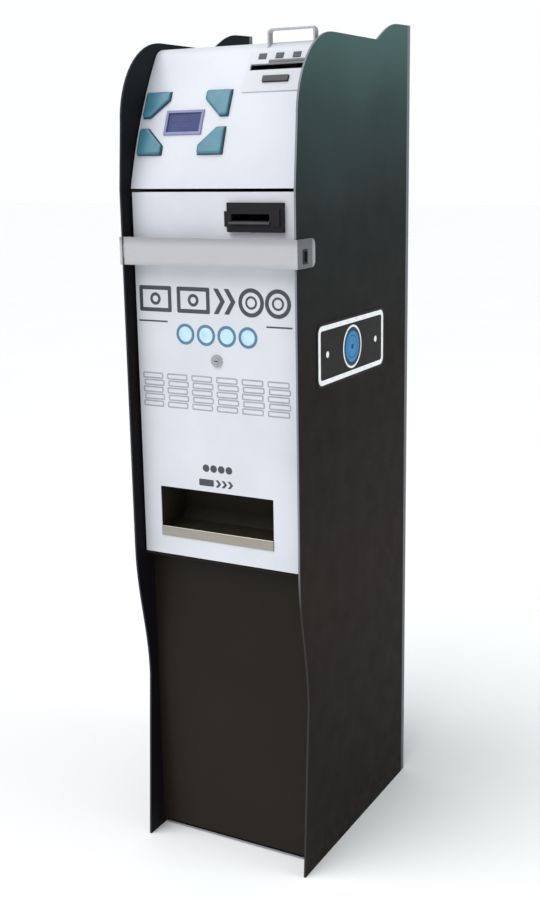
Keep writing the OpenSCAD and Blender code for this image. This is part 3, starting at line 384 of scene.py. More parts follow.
# One finish for each material slot of the record
FINISH = {
    "side_paint": flank_paint(),
    "white_paint": white_coat("white_powder_coat", rgb(210, 214, 221)),
    "inner_steel": zinc("zinc_plate", rgb(160, 163, 168)),
    "rear_paint": powder_coat("rear_powder_coat", rgb(44, 46, 49), 0.5, Specular_IOR_Level=0.25),
    "kick_paint": powder_coat("kick_satin_paint", rgb(33, 29, 24), 0.4, rgb(60, 56, 50), 0.4,
                              Specular_IOR_Level=0.1),
    "strap_steel": strap_metal(),
    "hinge_steel": brushed("hinge_steel", rgb(182, 184, 188), 0.34),
    "handle_steel": brushed("handle_satin_steel", rgb(206, 207, 209), 0.4, (4, 30, 4), 0.05),
    "black_plastic": moulded("black_moulding", rgb(29, 28, 31), 0.46, Specular_IOR_Level=0.2),
    "dark_plastic": moulded("dark_moulding", rgb(64, 62, 64), 0.42, Specular_IOR_Level=0.3),
    "key_plastic": moulded("key_moulding", rgb(58, 121, 140), 0.34, 0.15,
                           Coat_Weight=0.15, Coat_Roughness=0.15),
    "frame_plastic": moulded("frame_moulding", rgb(124, 126, 168), 0.42, 0.2),
    "inlet_plastic": powder_coat("inlet_coating", rgb(202, 205, 212), 0.42, rgb(168, 170, 176), 0.7),
    "window_glass": lcd(),
    "lamp_plastic": moulded("lamp_window", rgb(62, 62, 68), 0.32, 0.05,
                            Specular_IOR_Level=0.25, Coat_Weight=0.15, Coat_Roughness=0.2),
    "pcb": circuit_board(),
    "bush_brass": brushed("turned_brass", rgb(196, 164, 96), 0.3, (40, 40, 1)),
    "lock_chrome": brushed("lock_chrome", rgb(176, 178, 182), 0.18, (8, 8, 8), 0.05),
    "lip_steel": brushed("lip_brushed_steel", rgb(168, 163, 153), 0.4),
    "roller_rubber": moulded("roller_rubber", rgb(36, 36, 37), 0.75, 0.9),
    "box_steel": powder_coat("cash_box_paint", rgb(58, 62, 72), 0.45),
    "acceptor_plastic": moulded("acceptor_moulding", rgb(104, 108, 116), 0.5),
    "bin_plastic": moulded("bin_moulding", rgb(58, 66, 80), 0.5),
    "disc_alloy": brushed("turned_alloy", rgb(204, 204, 202), 0.26, (14, 14, 1)),
    "drive_metal": powder_coat("drive_paint", rgb(70, 72, 80), 0.5),
    "supply_metal": brushed("supply_alloy", rgb(198, 200, 203), 0.32, (1, 40, 40)),
    "switch_red": moulded("switch_red", rgb(176, 32, 26), 0.28, 0.15),
    "badge_film": print_film("badge_dark_film", rgb(24, 23, 22), Specular_IOR_Level=0.03),
}

# Nodes that differ from the rest of their slot
NODE_FINISH = {
    "payout_cup": moulded("cup_moulding", rgb(52, 48, 38), 0.6, Specular_IOR_Level=0.1),
    "door_pivot_brackets": FINISH["kick_paint"],
    # Painted shade: the hood's white is a little darker than the door's, against the extra light that its
    # lean catches
    "hood_panel": white_coat("hood_coat_painted_shade", rgb(206, 210, 218)),
}

# Finishes of the pieces that are only made here
INK_DARK = print_film("ink_dark", rgb(62, 64, 72))
INK_GREY = print_film("ink_grey", rgb(158, 160, 170))
INK_BLUE = print_film("ink_blue", rgb(78, 122, 152))
INK_PALE = print_film("ink_pale_blue", rgb(190, 222, 242))
INK_WHITE = print_film("ink_white", rgb(240, 242, 244))
INK_COIN = print_film("ink_coin_blue", rgb(6, 128, 186), Specular_IOR_Level=0.15)
INK_TEAL = print_film("ink_dark_teal", rgb(8, 52, 72), Specular_IOR_Level=0.1)
# Painted shade: grey for the shadow line along the ledge over the coin slot
LEDGE_SHADE = moulded("ledge_painted_shade", rgb(112, 114, 116), 0.5, Specular_IOR_Level=0.2)
CHIP_BLACK = moulded("chip_black", rgb(26, 26, 28), 0.5)
HEADER_CREAM = moulded("header_cream", rgb(206, 200, 178), 0.5)
RELAY_BLUE = moulded("relay_blue", rgb(30, 62, 118), 0.35)
SLEEVE_DARK = moulded("capacitor_sleeve", rgb(34, 36, 58), 0.3)
TIN_PLATE = brushed("tin_plate", rgb(200, 202, 204), 0.3, (10, 10, 10))
SCREW_STEEL = brushed("screw_zinc", rgb(168, 170, 174), 0.32, (20, 20, 20))
# Painted shade: a darker copy of the key moulding, for the keys' steep sides
KEY_SIDE_SHADE = moulded("key_side_painted_shade", rgb(24, 70, 88), 0.34, 0.15,
                   Coat_Weight=0.2, Coat_Roughness=0.2)
LCD_INK = print_film("lcd_ink", rgb(64, 76, 128), Specular_IOR_Level=0.2)


# ---- Finishing of the CAD nodes: welded, edges rounded, curves smoothed ----

SMOOTH_BELOW = math.radians(32)
BEVEL_ABOVE = math.radians(40)


def smoothing_group():
    """Geometry nodes that shade every edge smooth unless it is sharper than SMOOTH_BELOW."""
    group = bpy.data.node_groups.new("smooth_by_angle", "GeometryNodeTree")
    group.interface.new_socket("Geometry", in_out="INPUT", socket_type="NodeSocketGeometry")
    group.interface.new_socket("Geometry", in_out="OUTPUT", socket_type="NodeSocketGeometry")
    start = group.nodes.new("NodeGroupInput")
    end = group.nodes.new("NodeGroupOutput")
    angle = group.nodes.new("GeometryNodeInputMeshEdgeAngle")
    sharp = group.nodes.new("FunctionNodeCompare")
    sharp.operation = "GREATER_THAN"
    sharp.inputs[1].default_value = SMOOTH_BELOW
    rounded = group.nodes.new("GeometryNodeSetShadeSmooth")
    split = group.nodes.new("GeometryNodeSetShadeSmooth")
    split.domain = "EDGE"
    split.inputs["Shade Smooth"].default_value = False
    group.links.new(start.outputs[0], rounded.inputs["Geometry"])
    group.links.new(rounded.outputs[0], split.inputs["Geometry"])
    group.links.new(angle.outputs["Unsigned Angle"], sharp.inputs[0])
    group.links.new(sharp.outputs[0], split.inputs["Selection"])
    group.links.new(split.outputs[0], end.inputs[0])
    return group


SMOOTHING = smoothing_group()


def soften(piece, width=0.0):
    """Rounds the sharp edges of a piece by width and smooths its curves, by modifiers."""
    if width:
        bevel = piece.modifiers.new("rounded_edges", "BEVEL")
        bevel.width = width
        bevel.segments = 2
        bevel.limit_method = "ANGLE"
        bevel.angle_limit = BEVEL_ABOVE
        bevel.use_clamp_overlap = True
    smooth = piece.modifiers.new("smooth_curves", "NODES")
    smooth.node_group = SMOOTHING
    even = piece.modifiers.new("even_normals", "WEIGHTED_NORMAL")
    even.keep_sharp = True


EDGE_WIDTH = {
    "left_side_panel": 0.9 * MM, "right_side_panel": 0.9 * MM, "hood_panel": 0.7 * MM,
    "door_panel": 0.8 * MM, "top_cover": 0.7 * MM, "security_strap": 0.8 * MM, "note_mask": 1.2 * MM,
    "note_mask_lip": 0.5 * MM, "cash_box": 2.0 * MM, "validator_head": 1.5 * MM, "coin_acceptor": 1.5 * MM,
    "hopper_bin_left": 1.2 * MM, "hopper_bin_right": 1.2 * MM, "kick_panel": 0.8 * MM,
    "hood_handle": 0.8 * MM, "hood_hinge_pin": 0.4 * MM, "inlet_plate": 0.5 * MM, "side_badge": 0.3 * MM,
    "reject_bar": 0.8 * MM, "power_supply": 0.8 * MM, "payout_cup": 0.6 * MM,
}
DEFAULT_EDGE = 0.4 * MM
WELD_BELOW = 0.004 * MM

node_slot = {row["node"]: row["material_slot"] for row in frame["record"]["subparts"]}

for name, node in frame["nodes"].items():
    node.data.materials.clear()
    node.data.materials.append(NODE_FINISH.get(name, FINISH[node_slot[name]]).material)
    weld = node.modifiers.new("weld", "WELD")
    weld.merge_threshold = WELD_BELOW
    soften(node, EDGE_WIDTH.get(name, DEFAULT_EDGE))


# ---- Mesh building ----


def add_object(name, data):
    made = bpy.data.objects.new(name, data)
    bpy.context.scene.collection.objects.link(made)
    return made


def mesh_from(name, bm):
    mesh = bpy.data.meshes.new(name)
    bm.to_mesh(mesh)
    bm.free()
    return mesh


def finish_piece(name, bm, body, materials, replaces=()):
    """Turns a built mesh into a piece that rides on a body and takes the given finishes."""
    bmesh.ops.recalc_face_normals(bm, faces=bm.faces)
    piece = add_object(name, mesh_from(name, bm))
    for finish in materials:
        piece.data.materials.append(finish.material)
    soften(piece)
    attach(piece, body)
    if replaces:
        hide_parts(*replaces)


def loft(bm, loops, closed=False, material_of=None):
    """Skins a run of loops that have equal numbers of points. An open run gets end caps."""
    rings = [[bm.verts.new(p) for p in loop] for loop in loops]
    count = len(rings[0])
    pairs = list(zip(rings, rings[1:]))
    if closed:
        pairs.append((rings[-1], rings[0]))
    for step, (a, b) in enumerate(pairs):
        for i in range(count):
            j = (i + 1) % count
            face = bm.faces.new((a[i], a[j], b[j], b[i]))
            face.material_index = material_of(step) if material_of else 0
    if not closed:
        bm.faces.new(rings[0])
        bm.faces.new(list(reversed(rings[-1])))


CORNER_STEPS = 5


def rounded_loop(points, radius):
    """The corners of a closed outline rounded by arcs. Points are (x, z) pairs, anticlockwise."""
    made = []
    count = len(points)
    for i, corner in enumerate(points):
        corner = Vector(corner)
        before = (Vector(points[i - 1]) - corner).normalized()
        after = (Vector(points[(i + 1) % count]) - corner).normalized()
        half_angle = before.angle(after) / 2
        reach = radius / math.tan(half_angle)
        centre = corner + (before + after).normalized() * radius / math.sin(half_angle)
        start = corner + before * reach - centre
        sweep = math.pi - 2 * half_angle
        turn = 1 if before.x * after.y - before.y * after.x < 0 else -1
        for k in range(CORNER_STEPS + 1):
            a = turn * sweep * k / CORNER_STEPS
            c, s = math.cos(a), math.sin(a)
            made.append(centre + Vector((start.x * c - start.y * s, start.x * s + start.y * c)))
    return made


def box_loop(width, height, radius, centre=(0, 0)):
    """A rectangle with rounded corners."""
    x, z = centre
    w, h = width / 2, height / 2
    corners = [(x - w, z - h), (x + w, z - h), (x + w, z + h), (x - w, z + h)]
    return rounded_loop(corners, radius)


def circle_loop(radius, centre=(0, 0), count=40):
    x, z = centre
    angles = [2 * math.pi * i / count for i in range(count)]
    return [Vector((x + radius * math.cos(angle), z + radius * math.sin(angle))) for angle in angles]


def placed(loop, y, matrix):
    """An outline set at depth y. The side that is seen faces -Y."""
    return [matrix @ Vector((p[0], y, p[1])) for p in loop]


def slab(bm, loop, y0, y1, matrix=Matrix.Identity(4)):
    """An outline made solid between two depths."""
    loft(bm, [placed(loop, y0, matrix), placed(loop, y1, matrix)])


def band(bm, outer, inner, y0, y1, matrix=Matrix.Identity(4)):
    """A flat ring between two outlines of equal numbers of points."""
    corners = [(outer, y0), (outer, y1), (inner, y1), (inner, y0)]
    loft(bm, [placed(loop, y, matrix) for loop, y in corners], closed=True)


# ---- Selection keys: domed triangular caps on the hood ----

KEY_CORNERS = {
    "key_upper_left": (-1, 1), "key_upper_right": (1, 1),
    "key_lower_left": (-1, -1), "key_lower_right": (1, -1),
}
KEY_SIZE = (52 * MM, 50 * MM)
KEY_REACH = (90 * MM, 60 * MM)  # from the group's middle to a key's outer corner
KEY_TIP = 17 * MM  # width left at each cut tip
KEY_PROUD = 7 * MM
KEY_FLANGE = (3.3 * MM, 4.9 * MM)  # depths behind the hood's face
STEM_END = 14 * MM
STEM_RADIUS = 4 * MM
STEM_SHARE = 0.28  # place of the stem, as a share of the key's size from its right angle


def key_matrix(corner):
    """Frame at a key's right angle, with X and Z along its two short sides."""
    w, h = KEY_SIZE
    side, up = corner
    base = on_hood(KEY_GROUP.x + side * KEY_REACH[0], KEY_GROUP.z + up * (KEY_REACH[1] - h / 2))
    mirror = Matrix.Diagonal((-side, 1, -up, 1))
    return base @ mirror @ Matrix.Translation((0, 0, -h / 2))


def key_outline(grow):
    """The key's right triangle with its two tips cut off, moved out by grow on every side."""
    w, h = KEY_SIZE
    run, rise = w - KEY_TIP, h - KEY_TIP
    across, along = rise / math.hypot(run, rise), run / math.hypot(run, rise)
    return [
        (-grow, -grow), (w + grow, -grow), (w + grow, KEY_TIP + grow * (1 - across) / along),
        (KEY_TIP + grow * (1 - along) / across, h + grow), (-grow, h + grow),
    ]


def key_cap(name, corner):
    """A cap with steep sides in a darker copy of its moulding as painted shade, a lighter crown that is
    pulled in, and its flange and stem behind.
    """
    matrix = key_matrix(corner)
    bm = bmesh.new()
    # Each section is (moved out, depth, corner radius), from the flange out to the crown
    sections = [
        (0.0, KEY_FLANGE[0], 4 * MM), (0.0, -1.5 * MM, 4 * MM),
        (-1.0 * MM, -KEY_PROUD + 1.6 * MM, 4.5 * MM),
        (-2.6 * MM, -KEY_PROUD + 0.5 * MM, 5 * MM), (-5.0 * MM, -KEY_PROUD, 5 * MM),
    ]
    loops = [placed(rounded_loop(key_outline(grow), radius), y, matrix) for grow, y, radius in sections]
    # The steps of the steep sides take the darker copy, as painted shade
    side_steps = 2
    loft(bm, loops, material_of=lambda step: 1 if step < side_steps else 0)
    slab(bm, rounded_loop(key_outline(2.5 * MM), 3 * MM), *KEY_FLANGE, matrix)
    centre = (KEY_SIZE[0] * STEM_SHARE, KEY_SIZE[1] * STEM_SHARE)
    slab(bm, circle_loop(STEM_RADIUS, centre, 24), KEY_FLANGE[1], STEM_END, matrix)
    finish_piece(name + "_cap", bm, name, [FINISH["key_plastic"], KEY_SIDE_SHADE], (name,))


for key_name, key_corner in KEY_CORNERS.items():
    key_cap(key_name, key_corner)


# ---- Display: blue face with plain bars and coin marks ----

DISPLAY_SIZE = (72 * MM, 39 * MM)
DISPLAY_EDGE = 0.6 * MM
MARK_FRONT, MARK_BACK = -0.32 * MM, -0.15 * MM


def display_face():
    matrix = on_hood(KEY_GROUP.x, KEY_GROUP.z)
    w, h = DISPLAY_SIZE
    outline = box_loop(w, h, DISPLAY_EDGE)
    inner = box_loop(w - 2 * DISPLAY_EDGE, h - 2 * DISPLAY_EDGE, 0.4 * MM)
    bm = bmesh.new()
    sections = [(outline, 2.3 * MM), (outline, 0.2 * MM), (inner, -0.2 * MM)]
    loft(bm, [placed(loop, y, matrix) for loop, y in sections])
    finish_piece("display_face", bm, "hood", [FINISH["window_glass"]], ("display_window",))


def display_marks():
    """Three coin rings over four bars that get shorter."""
    matrix = on_hood(KEY_GROUP.x, KEY_GROUP.z)
    marks = bmesh.new()
    for i in range(3):
        centre = ((-22 + 11 * i) * MM, 8 * MM)
        outer, inner = circle_loop(4.2 * MM, centre), circle_loop(3.1 * MM, centre)
        band(marks, outer, inner, MARK_FRONT, MARK_BACK, matrix)
    left = -26 * MM
    for i in range(4):
        length = (44 - 7 * i) * MM
        centre = (left + length / 2, (-2 - 4 * i) * MM)
        slab(marks, box_loop(length, 1.3 * MM, 0.4 * MM, centre), MARK_FRONT, MARK_BACK, matrix)
    finish_piece("display_marks", marks, "hood", [LCD_INK])


display_face()
display_marks()


# ---- Printed pictograms on the door ----

PRINT_Y = PANEL_Y - 0.18 * MM
PRINT_BACK = PANEL_Y + 0.05 * MM

# Heights of the printed rows above the floor
SIGN_ROW = (1074 * MM, 1130 * MM)
RULE_ROW = (1059 * MM, 1062 * MM)
BLUE_ROW_Z = 1039 * MM
STACK_ROW_Z = 898 * MM
DOT_ROW_Z = 788.5 * MM
ARROW_ROW = (754 * MM, 767 * MM)
SIGN_STROKE = 7.5 * MM


def midway(span):
    return (span[0] + span[1]) / 2


def ring(bm, x, z, radius, stroke):
    band(bm, circle_loop(radius, (x, z)), circle_loop(radius - stroke, (x, z)), PRINT_Y, PRINT_BACK)


def disc(bm, x, z, radius):
    slab(bm, circle_loop(radius, (x, z)), PRINT_Y, PRINT_BACK)


def bar(bm, across, up, radius=0.8 * MM):
    """A filled box over two spans."""
    outline = box_loop(across[1] - across[0], up[1] - up[0], radius, (midway(across), midway(up)))
    slab(bm, outline, PRINT_Y, PRINT_BACK)


def frame_bar(bm, across, up, stroke, radius=3 * MM):
    """The outline of a box over two spans."""
    centre = (midway(across), midway(up))
    width, height = across[1] - across[0], up[1] - up[0]
    outer = box_loop(width, height, radius, centre)
    inner = box_loop(width - 2 * stroke, height - 2 * stroke, max(radius - stroke, 0.5 * MM), centre)
    band(bm, outer, inner, PRINT_Y, PRINT_BACK)


def chevron(bm, x, z, width, height, stroke):
    """A plain > mark."""
    w, h = width / 2, height / 2
    points = [
        (x - w, z + h), (x - w + stroke, z + h), (x + w, z),
        (x - w + stroke, z - h), (x - w, z - h), (x + w - stroke, z),
    ]
    slab(bm, [Vector(p) for p in points], PRINT_Y, PRINT_BACK)


def banknote(bm, across, up, stroke):
    frame_bar(bm, across, up, stroke)
    ring(bm, midway(across), midway(up), (up[1] - up[0]) * 0.24, stroke * 0.75)


def coin_stack(bm, left, width, count):
    """Coins seen from the side, one on the other, each a little out of line."""
    pitch, gap, shift = 13.4 * MM, 1.4 * MM, 1.2 * MM
    for i in range(count):
        x = left + (shift if i % 2 else -shift)
        up = (STACK_ROW_Z + i * pitch, STACK_ROW_Z + (i + 1) * pitch - gap)
        frame_bar(bm, (x, x + width), up, 2.8 * MM, 3.2 * MM)


def print_signs():
    """Two notes, arrows and two coins, with rules under them, and the small signs over the tray."""
    dark = bmesh.new()
    low, high = SIGN_ROW
    for left in (-164 * MM, -82 * MM):
        banknote(dark, (left, left + 70 * MM), (low + 4 * MM, high - 4 * MM), SIGN_STROKE)
    for x in (8, 30):
        chevron(dark, x * MM, midway(SIGN_ROW), 24 * MM, 46 * MM, 10 * MM)
    for x in (74, 128):
        ring(dark, x * MM, midway(SIGN_ROW), 26 * MM, SIGN_STROKE)
        ring(dark, x * MM, midway(SIGN_ROW), 12 * MM, 4 * MM)
    bar(dark, (-167 * MM, -104 * MM), RULE_ROW)
    bar(dark, (104 * MM, 156 * MM), RULE_ROW)
    for i in range(4):
        disc(dark, (-30 + 16.5 * i) * MM, DOT_ROW_Z, 7.2 * MM)
    bar(dark, (-46 * MM, -14 * MM), ARROW_ROW, 2 * MM)
    for x in (-4, 9, 22):
        chevron(dark, x * MM, midway(ARROW_ROW), 12 * MM, 14 * MM, 6 * MM)
    finish_piece("print_note_to_coin", dark, "door", [INK_DARK])


def print_coin_row():
    """Four blue rings with a pale fill."""
    blue, pale = bmesh.new(), bmesh.new()
    for x in (-66, -22, 22, 66):
        ring(blue, x * MM, BLUE_ROW_Z, 19.5 * MM, 5.5 * MM)
        disc(pale, x * MM, BLUE_ROW_Z, 13.9 * MM)
    finish_piece("print_coin_row", blue, "door", [INK_BLUE])
    finish_piece("print_coin_row_fill", pale, "door", [INK_PALE])


def print_coin_stacks():
    grey = bmesh.new()
    for i in range(6):
        coin_stack(grey, (-162 + 53.5 * i) * MM, 45 * MM, 5)
    finish_piece("print_coin_stacks", grey, "door", [INK_GREY])


print_signs()
print_coin_row()
print_coin_stacks()


# ---- Badge on the right flank: a white banknote outline round a blue coin ----

BADGE_STROKE = 9 * MM
BADGE_FRONT, BADGE_BACK = -0.2 * MM, 0.1 * MM
COIN_OUTSIDE, COIN_RIM, COIN_FACE = 41 * MM, 37 * MM, 29 * MM
STAMP_FRONT, STAMP_BACK = 1.5 * BADGE_FRONT, 0.5 * BADGE_FRONT


def badge_mark():
    low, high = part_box("side_badge")
    place = (high.x, (low.y + high.y) / 2, (low.z + high.z) / 2)
    turn = Matrix.Translation(place) @ Matrix.Rotation(math.pi / 2, 4, "Z")
    width, height = high.y - low.y - 10 * MM, high.z - low.z - 10 * MM
    layer = (BADGE_FRONT, BADGE_BACK, turn)
    stamp = (STAMP_FRONT, STAMP_BACK, turn)

    white = bmesh.new()
    outer = box_loop(width, height, 14 * MM)
    inner = box_loop(width - 2 * BADGE_STROKE, height - 2 * BADGE_STROKE, 6 * MM)
    band(white, outer, inner, *layer)
    for side in (-1, 1):
        slab(white, circle_loop(6 * MM, (side * width * 0.37, 0)), *layer)
    band(white, circle_loop(COIN_OUTSIDE), circle_loop(COIN_RIM), *layer)
    finish_piece("badge_note", white, "cabinet", [INK_WHITE])

    blue = bmesh.new()
    slab(blue, circle_loop(COIN_FACE), *layer)
    finish_piece("badge_coin", blue, "cabinet", [INK_COIN])

    teal = bmesh.new()
    band(teal, circle_loop(COIN_RIM), circle_loop(COIN_FACE), *layer)
    band(teal, circle_loop(22 * MM), circle_loop(20.5 * MM), *stamp)
    slab(teal, box_loop(9 * MM, 9 * MM, 1 * MM), *stamp)
    finish_piece("badge_coin_rim", teal, "cabinet", [INK_TEAL])


badge_mark()


# ---- Grey strip on the ledge over the coin slot, painted shade for the ledge's shadow line ----

LEDGE_S = 232 * MM  # its place up the hood's curve
LEDGE_X = (73 * MM, 146 * MM)
LEDGE_TOP = 4.4 * MM  # how proud the ledge stands
STRIP_EDGE = 0.3 * MM


def ledge_strip():
    matrix = on_hood(0, LEDGE_S)
    centre = (midway(LEDGE_X), 0)
    width, depth = LEDGE_X[1] - LEDGE_X[0], 5 * MM
    outline = box_loop(width, depth, 0.8 * MM, centre)
    inner = box_loop(width - 2 * STRIP_EDGE, depth - 2 * STRIP_EDGE, 0.6 * MM, centre)
    sections = [(outline, -LEDGE_TOP + 1.5 * MM), (outline, -LEDGE_TOP), (inner, -LEDGE_TOP - STRIP_EDGE)]
    bm = bmesh.new()
    loft(bm, [placed(loop, y, matrix) for loop, y in sections])
    finish_piece("inlet_ledge_strip", bm, "hood", [LEDGE_SHADE])


ledge_strip()


# ---- Dark liner of the padlock slot in the strap's tab ----

PADLOCK_SLOT = (11 * MM, 20 * MM)
PADLOCK_PLACE = (-224.5 * MM, 1186 * MM)  # Y and Z of the slot's middle


def slot_liner():
    """A dark flange round the slot, and a sleeve through the tab."""
    tab_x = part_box("security_strap")[1].x
    turn = Matrix.Translation((tab_x, *PADLOCK_PLACE)) @ Matrix.Rotation(math.pi / 2, 4, "Z")
    w, h = PADLOCK_SLOT
    # Each section is (wider than the slot, taller, corner radius, depth) in mm
    sections = [
        (8.0, 6.0, 3.0, 0.2), (8.0, 6.0, 3.0, -0.4), (6.8, 4.8, 2.4, -0.8), (-1.2, -1.2, 1.0, -0.8),
        (-1.2, -1.2, 1.0, 3.4), (-0.1, -0.1, 0.8, 3.4), (-0.1, -0.1, 0.8, 0.2),
    ]
    bm = bmesh.new()
    loft(bm, [placed(box_loop(w + wide * MM, h + tall * MM, corner * MM), y * MM, turn)
              for wide, tall, corner, y in sections], closed=True)
    finish_piece("padlock_slot_liner", bm, "security_strap", [FINISH["black_plastic"]])


slot_liner()


# ---- Socket screws round the rear panel ----


def hexagon_loop(radius, count):
    """A hexagon given by as many points as the circles that it is lofted to."""
    made = []
    for i in range(count):
        angle = 2 * math.pi * i / count
        from_flat = (angle + math.pi / 6) % (math.pi / 3) - math.pi / 6
        reach = radius * math.cos(math.pi / 6) / math.cos(from_flat)
        made.append(Vector((reach * math.cos(angle), reach * math.sin(angle))))
    return made


def screw(bm, matrix, radius=4.5 * MM, proud=2.2 * MM):
    """A button head with a hexagon socket. Its head faces local -Y."""
    count = 24
    # The head's sections are (share of the radius, share of its height), from the seat up
    head = [(1.0, 0.3), (1.0, -0.25), (0.94, -0.6), (0.78, -0.88), (0.55, -1.0)]
    loops = [placed(circle_loop(radius * wide, count=count), proud * depth, matrix) for wide, depth in head]
    socket = hexagon_loop(radius * 0.42, count)
    loops += [placed(socket, proud * depth, matrix) for depth in (-1.0, -0.35)]
    loft(bm, loops)


def rear_screws():
    """Two columns of screws along the rear panel's sides."""
    low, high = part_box("rear_panel")
    bm = bmesh.new()
    rows = 6
    inset, end = 9 * MM, 22 * MM
    for x in (low.x + inset, high.x - inset):
        for i in range(rows):
            z = low.z + end + (high.z - low.z - 2 * end) * i / (rows - 1)
            screw(bm, Matrix.Translation((x, high.y, z)) @ Matrix.Rotation(math.pi, 4, "Z"))
    finish_piece("rear_screws", bm, "cabinet", [SCREW_STEEL])


rear_screws()


# ---- Control board: laminate, chips, relays, headers and capacitors on four posts ----

BOARD_T = 1.6 * MM
CAPACITOR_H = 20.4 * MM

board_low, board_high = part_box("control_board")
BOARD_W, BOARD_H = board_high.y - board_low.y, board_high.z - board_low.z
BOARD_LEFT, BOARD_RIGHT = -BOARD_W / 2, BOARD_W / 2
BOARD_BOTTOM, BOARD_TOP = -BOARD_H / 2, BOARD_H / 2

# Frame in the middle of the laminate's face, which looks along +X: local X is Y, and -Y is out
BOARD_FACE_X = board_high.x - CAPACITOR_H
BOARD_PLACE = (BOARD_FACE_X, (board_low.y + board_high.y) / 2, (board_low.z + board_high.z) / 2)
BOARD_TURN = Matrix.Translation(BOARD_PLACE) @ Matrix.Rotation(math.pi / 2, 4, "Z")


def block(bm, centre, size, corner, top, bottom=0.0):
    """A box on the board, from bottom to top, both measured out of its face."""
    slab(bm, box_loop(*size, corner, centre), -bottom, -top, BOARD_TURN)


def board_laminate():
    bm = bmesh.new()
    slab(bm, box_loop(BOARD_W, BOARD_H, 3 * MM), 0.0, BOARD_T, BOARD_TURN)
    finish_piece("board_laminate", bm, "cabinet", [FINISH["pcb"]], ("control_board",))


def board_posts():
    """Hexagon posts from the wall to the laminate's corners, each with a screw."""
    bm = bmesh.new()
    inset = 10 * MM
    for x in (BOARD_LEFT + inset, BOARD_RIGHT - inset):
        for z in (BOARD_BOTTOM + inset, BOARD_TOP - inset):
            slab(bm, circle_loop(3 * MM, (x, z), 6), BOARD_T, BOARD_FACE_X - board_low.x, BOARD_TURN)
            screw(bm, BOARD_TURN @ Matrix.Translation((x, 0, z)), 3 * MM, 1.8 * MM)
    finish_piece("board_posts", bm, "cabinet", [FINISH["bush_brass"]])


def board_relays():
    """Three boxes in a column, with bevelled lids."""
    bm = bmesh.new()
    w, h, lid = 39 * MM, 18 * MM, 2 * MM
    for i in range(3):
        centre = (BOARD_LEFT + 40 * MM, BOARD_TOP - (40.5 + 20 * i) * MM)
        foot = box_loop(w, h, 1.2 * MM, centre)
        crown = box_loop(w - lid, h - lid, 1.0 * MM, centre)
        sections = [(foot, 0.0), (foot, -11.4 * MM), (crown, -12.2 * MM)]
        loft(bm, [placed(loop, y, BOARD_TURN) for loop, y in sections])
    finish_piece("board_relays", bm, "cabinet", [RELAY_BLUE])


def board_chips(pins):
    """A square controller with pins on four sides, six driver chips, and rows of small parts."""
    chips = bmesh.new()
    x, z = BOARD_LEFT + 112.5 * MM, BOARD_BOTTOM + 102.5 * MM
    block(chips, (x, z), (38 * MM, 38 * MM), 1.5 * MM, 4.2 * MM, 0.3 * MM)
    pin_length, pin_width, pin_top = 3.6 * MM, 1.3 * MM, 1.2 * MM
    for i in range(12):
        along = (i - 5.5) * 2.9 * MM
        for side in (-1, 1):
            reach = side * 20.6 * MM
            block(pins, (x + reach, z + along), (pin_length, pin_width), 0.2 * MM, pin_top)
            block(pins, (x + along, z + reach), (pin_width, pin_length), 0.2 * MM, pin_top)
    for i in range(6):
        centre = (BOARD_LEFT + (66 + 13 * (i % 3)) * MM, BOARD_TOP - (34 + 22 * (i // 3)) * MM)
        block(chips, centre, (8 * MM, 14 * MM), 0.6 * MM, 2.2 * MM)
    small_top, end_offset = 0.8 * MM, 1.4 * MM
    for i in range(30):
        x, z = BOARD_LEFT + (22 + 7.5 * (i % 10)) * MM, BOARD_BOTTOM + (64 + 7 * (i // 10)) * MM
        block(chips, (x, z), (2.0 * MM, 1.4 * MM), 0.1 * MM, small_top)
        for side in (-1, 1):
            block(pins, (x + side * end_offset, z), (0.7 * MM, 1.5 * MM), 0.1 * MM, small_top)
    finish_piece("board_chips", chips, "cabinet", [CHIP_BLACK])


def board_headers(pins):
    """Open sockets for the wiring, each with two rows of three pins."""
    bm = bmesh.new()
    floor_top = 2 * MM
    for i in range(5):
        x, z = BOARD_RIGHT - 16.5 * MM, BOARD_BOTTOM + (30 + 30 * i) * MM
        outer = box_loop(16.6 * MM, 19.6 * MM, 0.8 * MM, (x, z))
        inner = box_loop(13.6 * MM, 16.6 * MM, 0.4 * MM, (x, z))
        band(bm, outer, inner, 0.0, -12.2 * MM, BOARD_TURN)
        block(bm, (x, z), (14 * MM, 17 * MM), 0.4 * MM, floor_top)
        for across in (-3 * MM, 3 * MM):
            for up in (-5 * MM, 0.0, 5 * MM):
                block(pins, (x + across, z + up), (0.9 * MM, 0.9 * MM), 0.1 * MM, 9 * MM, floor_top)
    finish_piece("board_headers", bm, "cabinet", [HEADER_CREAM])


def board_capacitors(pins):
    """Four cans with a crimp near the foot and a bare metal top."""
    sleeves = bmesh.new()
    # Each section is (radius, height) in mm
    sections = [(6.0, 0.0), (6.0, 1.6), (5.6, 2.2), (6.0, 2.8), (6.0, 19.6), (5.5, 20.2), (4.9, 20.2)]
    for i in range(4):
        centre = (BOARD_LEFT + (25 + 18 * i) * MM, BOARD_BOTTOM + 40 * MM)
        loft(sleeves, [placed(circle_loop(r * MM, centre, 32), -up * MM, BOARD_TURN) for r, up in sections])
        slab(pins, circle_loop(4.8 * MM, centre, 32), -19.5 * MM, -20.3 * MM, BOARD_TURN)
    finish_piece("board_capacitors", sleeves, "cabinet", [SLEEVE_DARK])


def control_board():
    contacts = bmesh.new()
    board_laminate()
    board_posts()
    board_relays()
    board_chips(contacts)
    board_headers(contacts)
    board_capacitors(contacts)
    finish_piece("board_contacts", contacts, "cabinet", [TIN_PLATE])


control_board()


# ---- Camera, light and floor ----

CAMERA_PLACE = (1.14816, -2.12672, 1.35497)
CAMERA_YAW, CAMERA_PITCH, CAMERA_ROLL = 28.66, 13.42, -0.98  # degrees: left, down, clockwise
CAMERA_LENS = 49.27
CAMERA_SENSOR = 36
FLOOR_REACH = 30.0


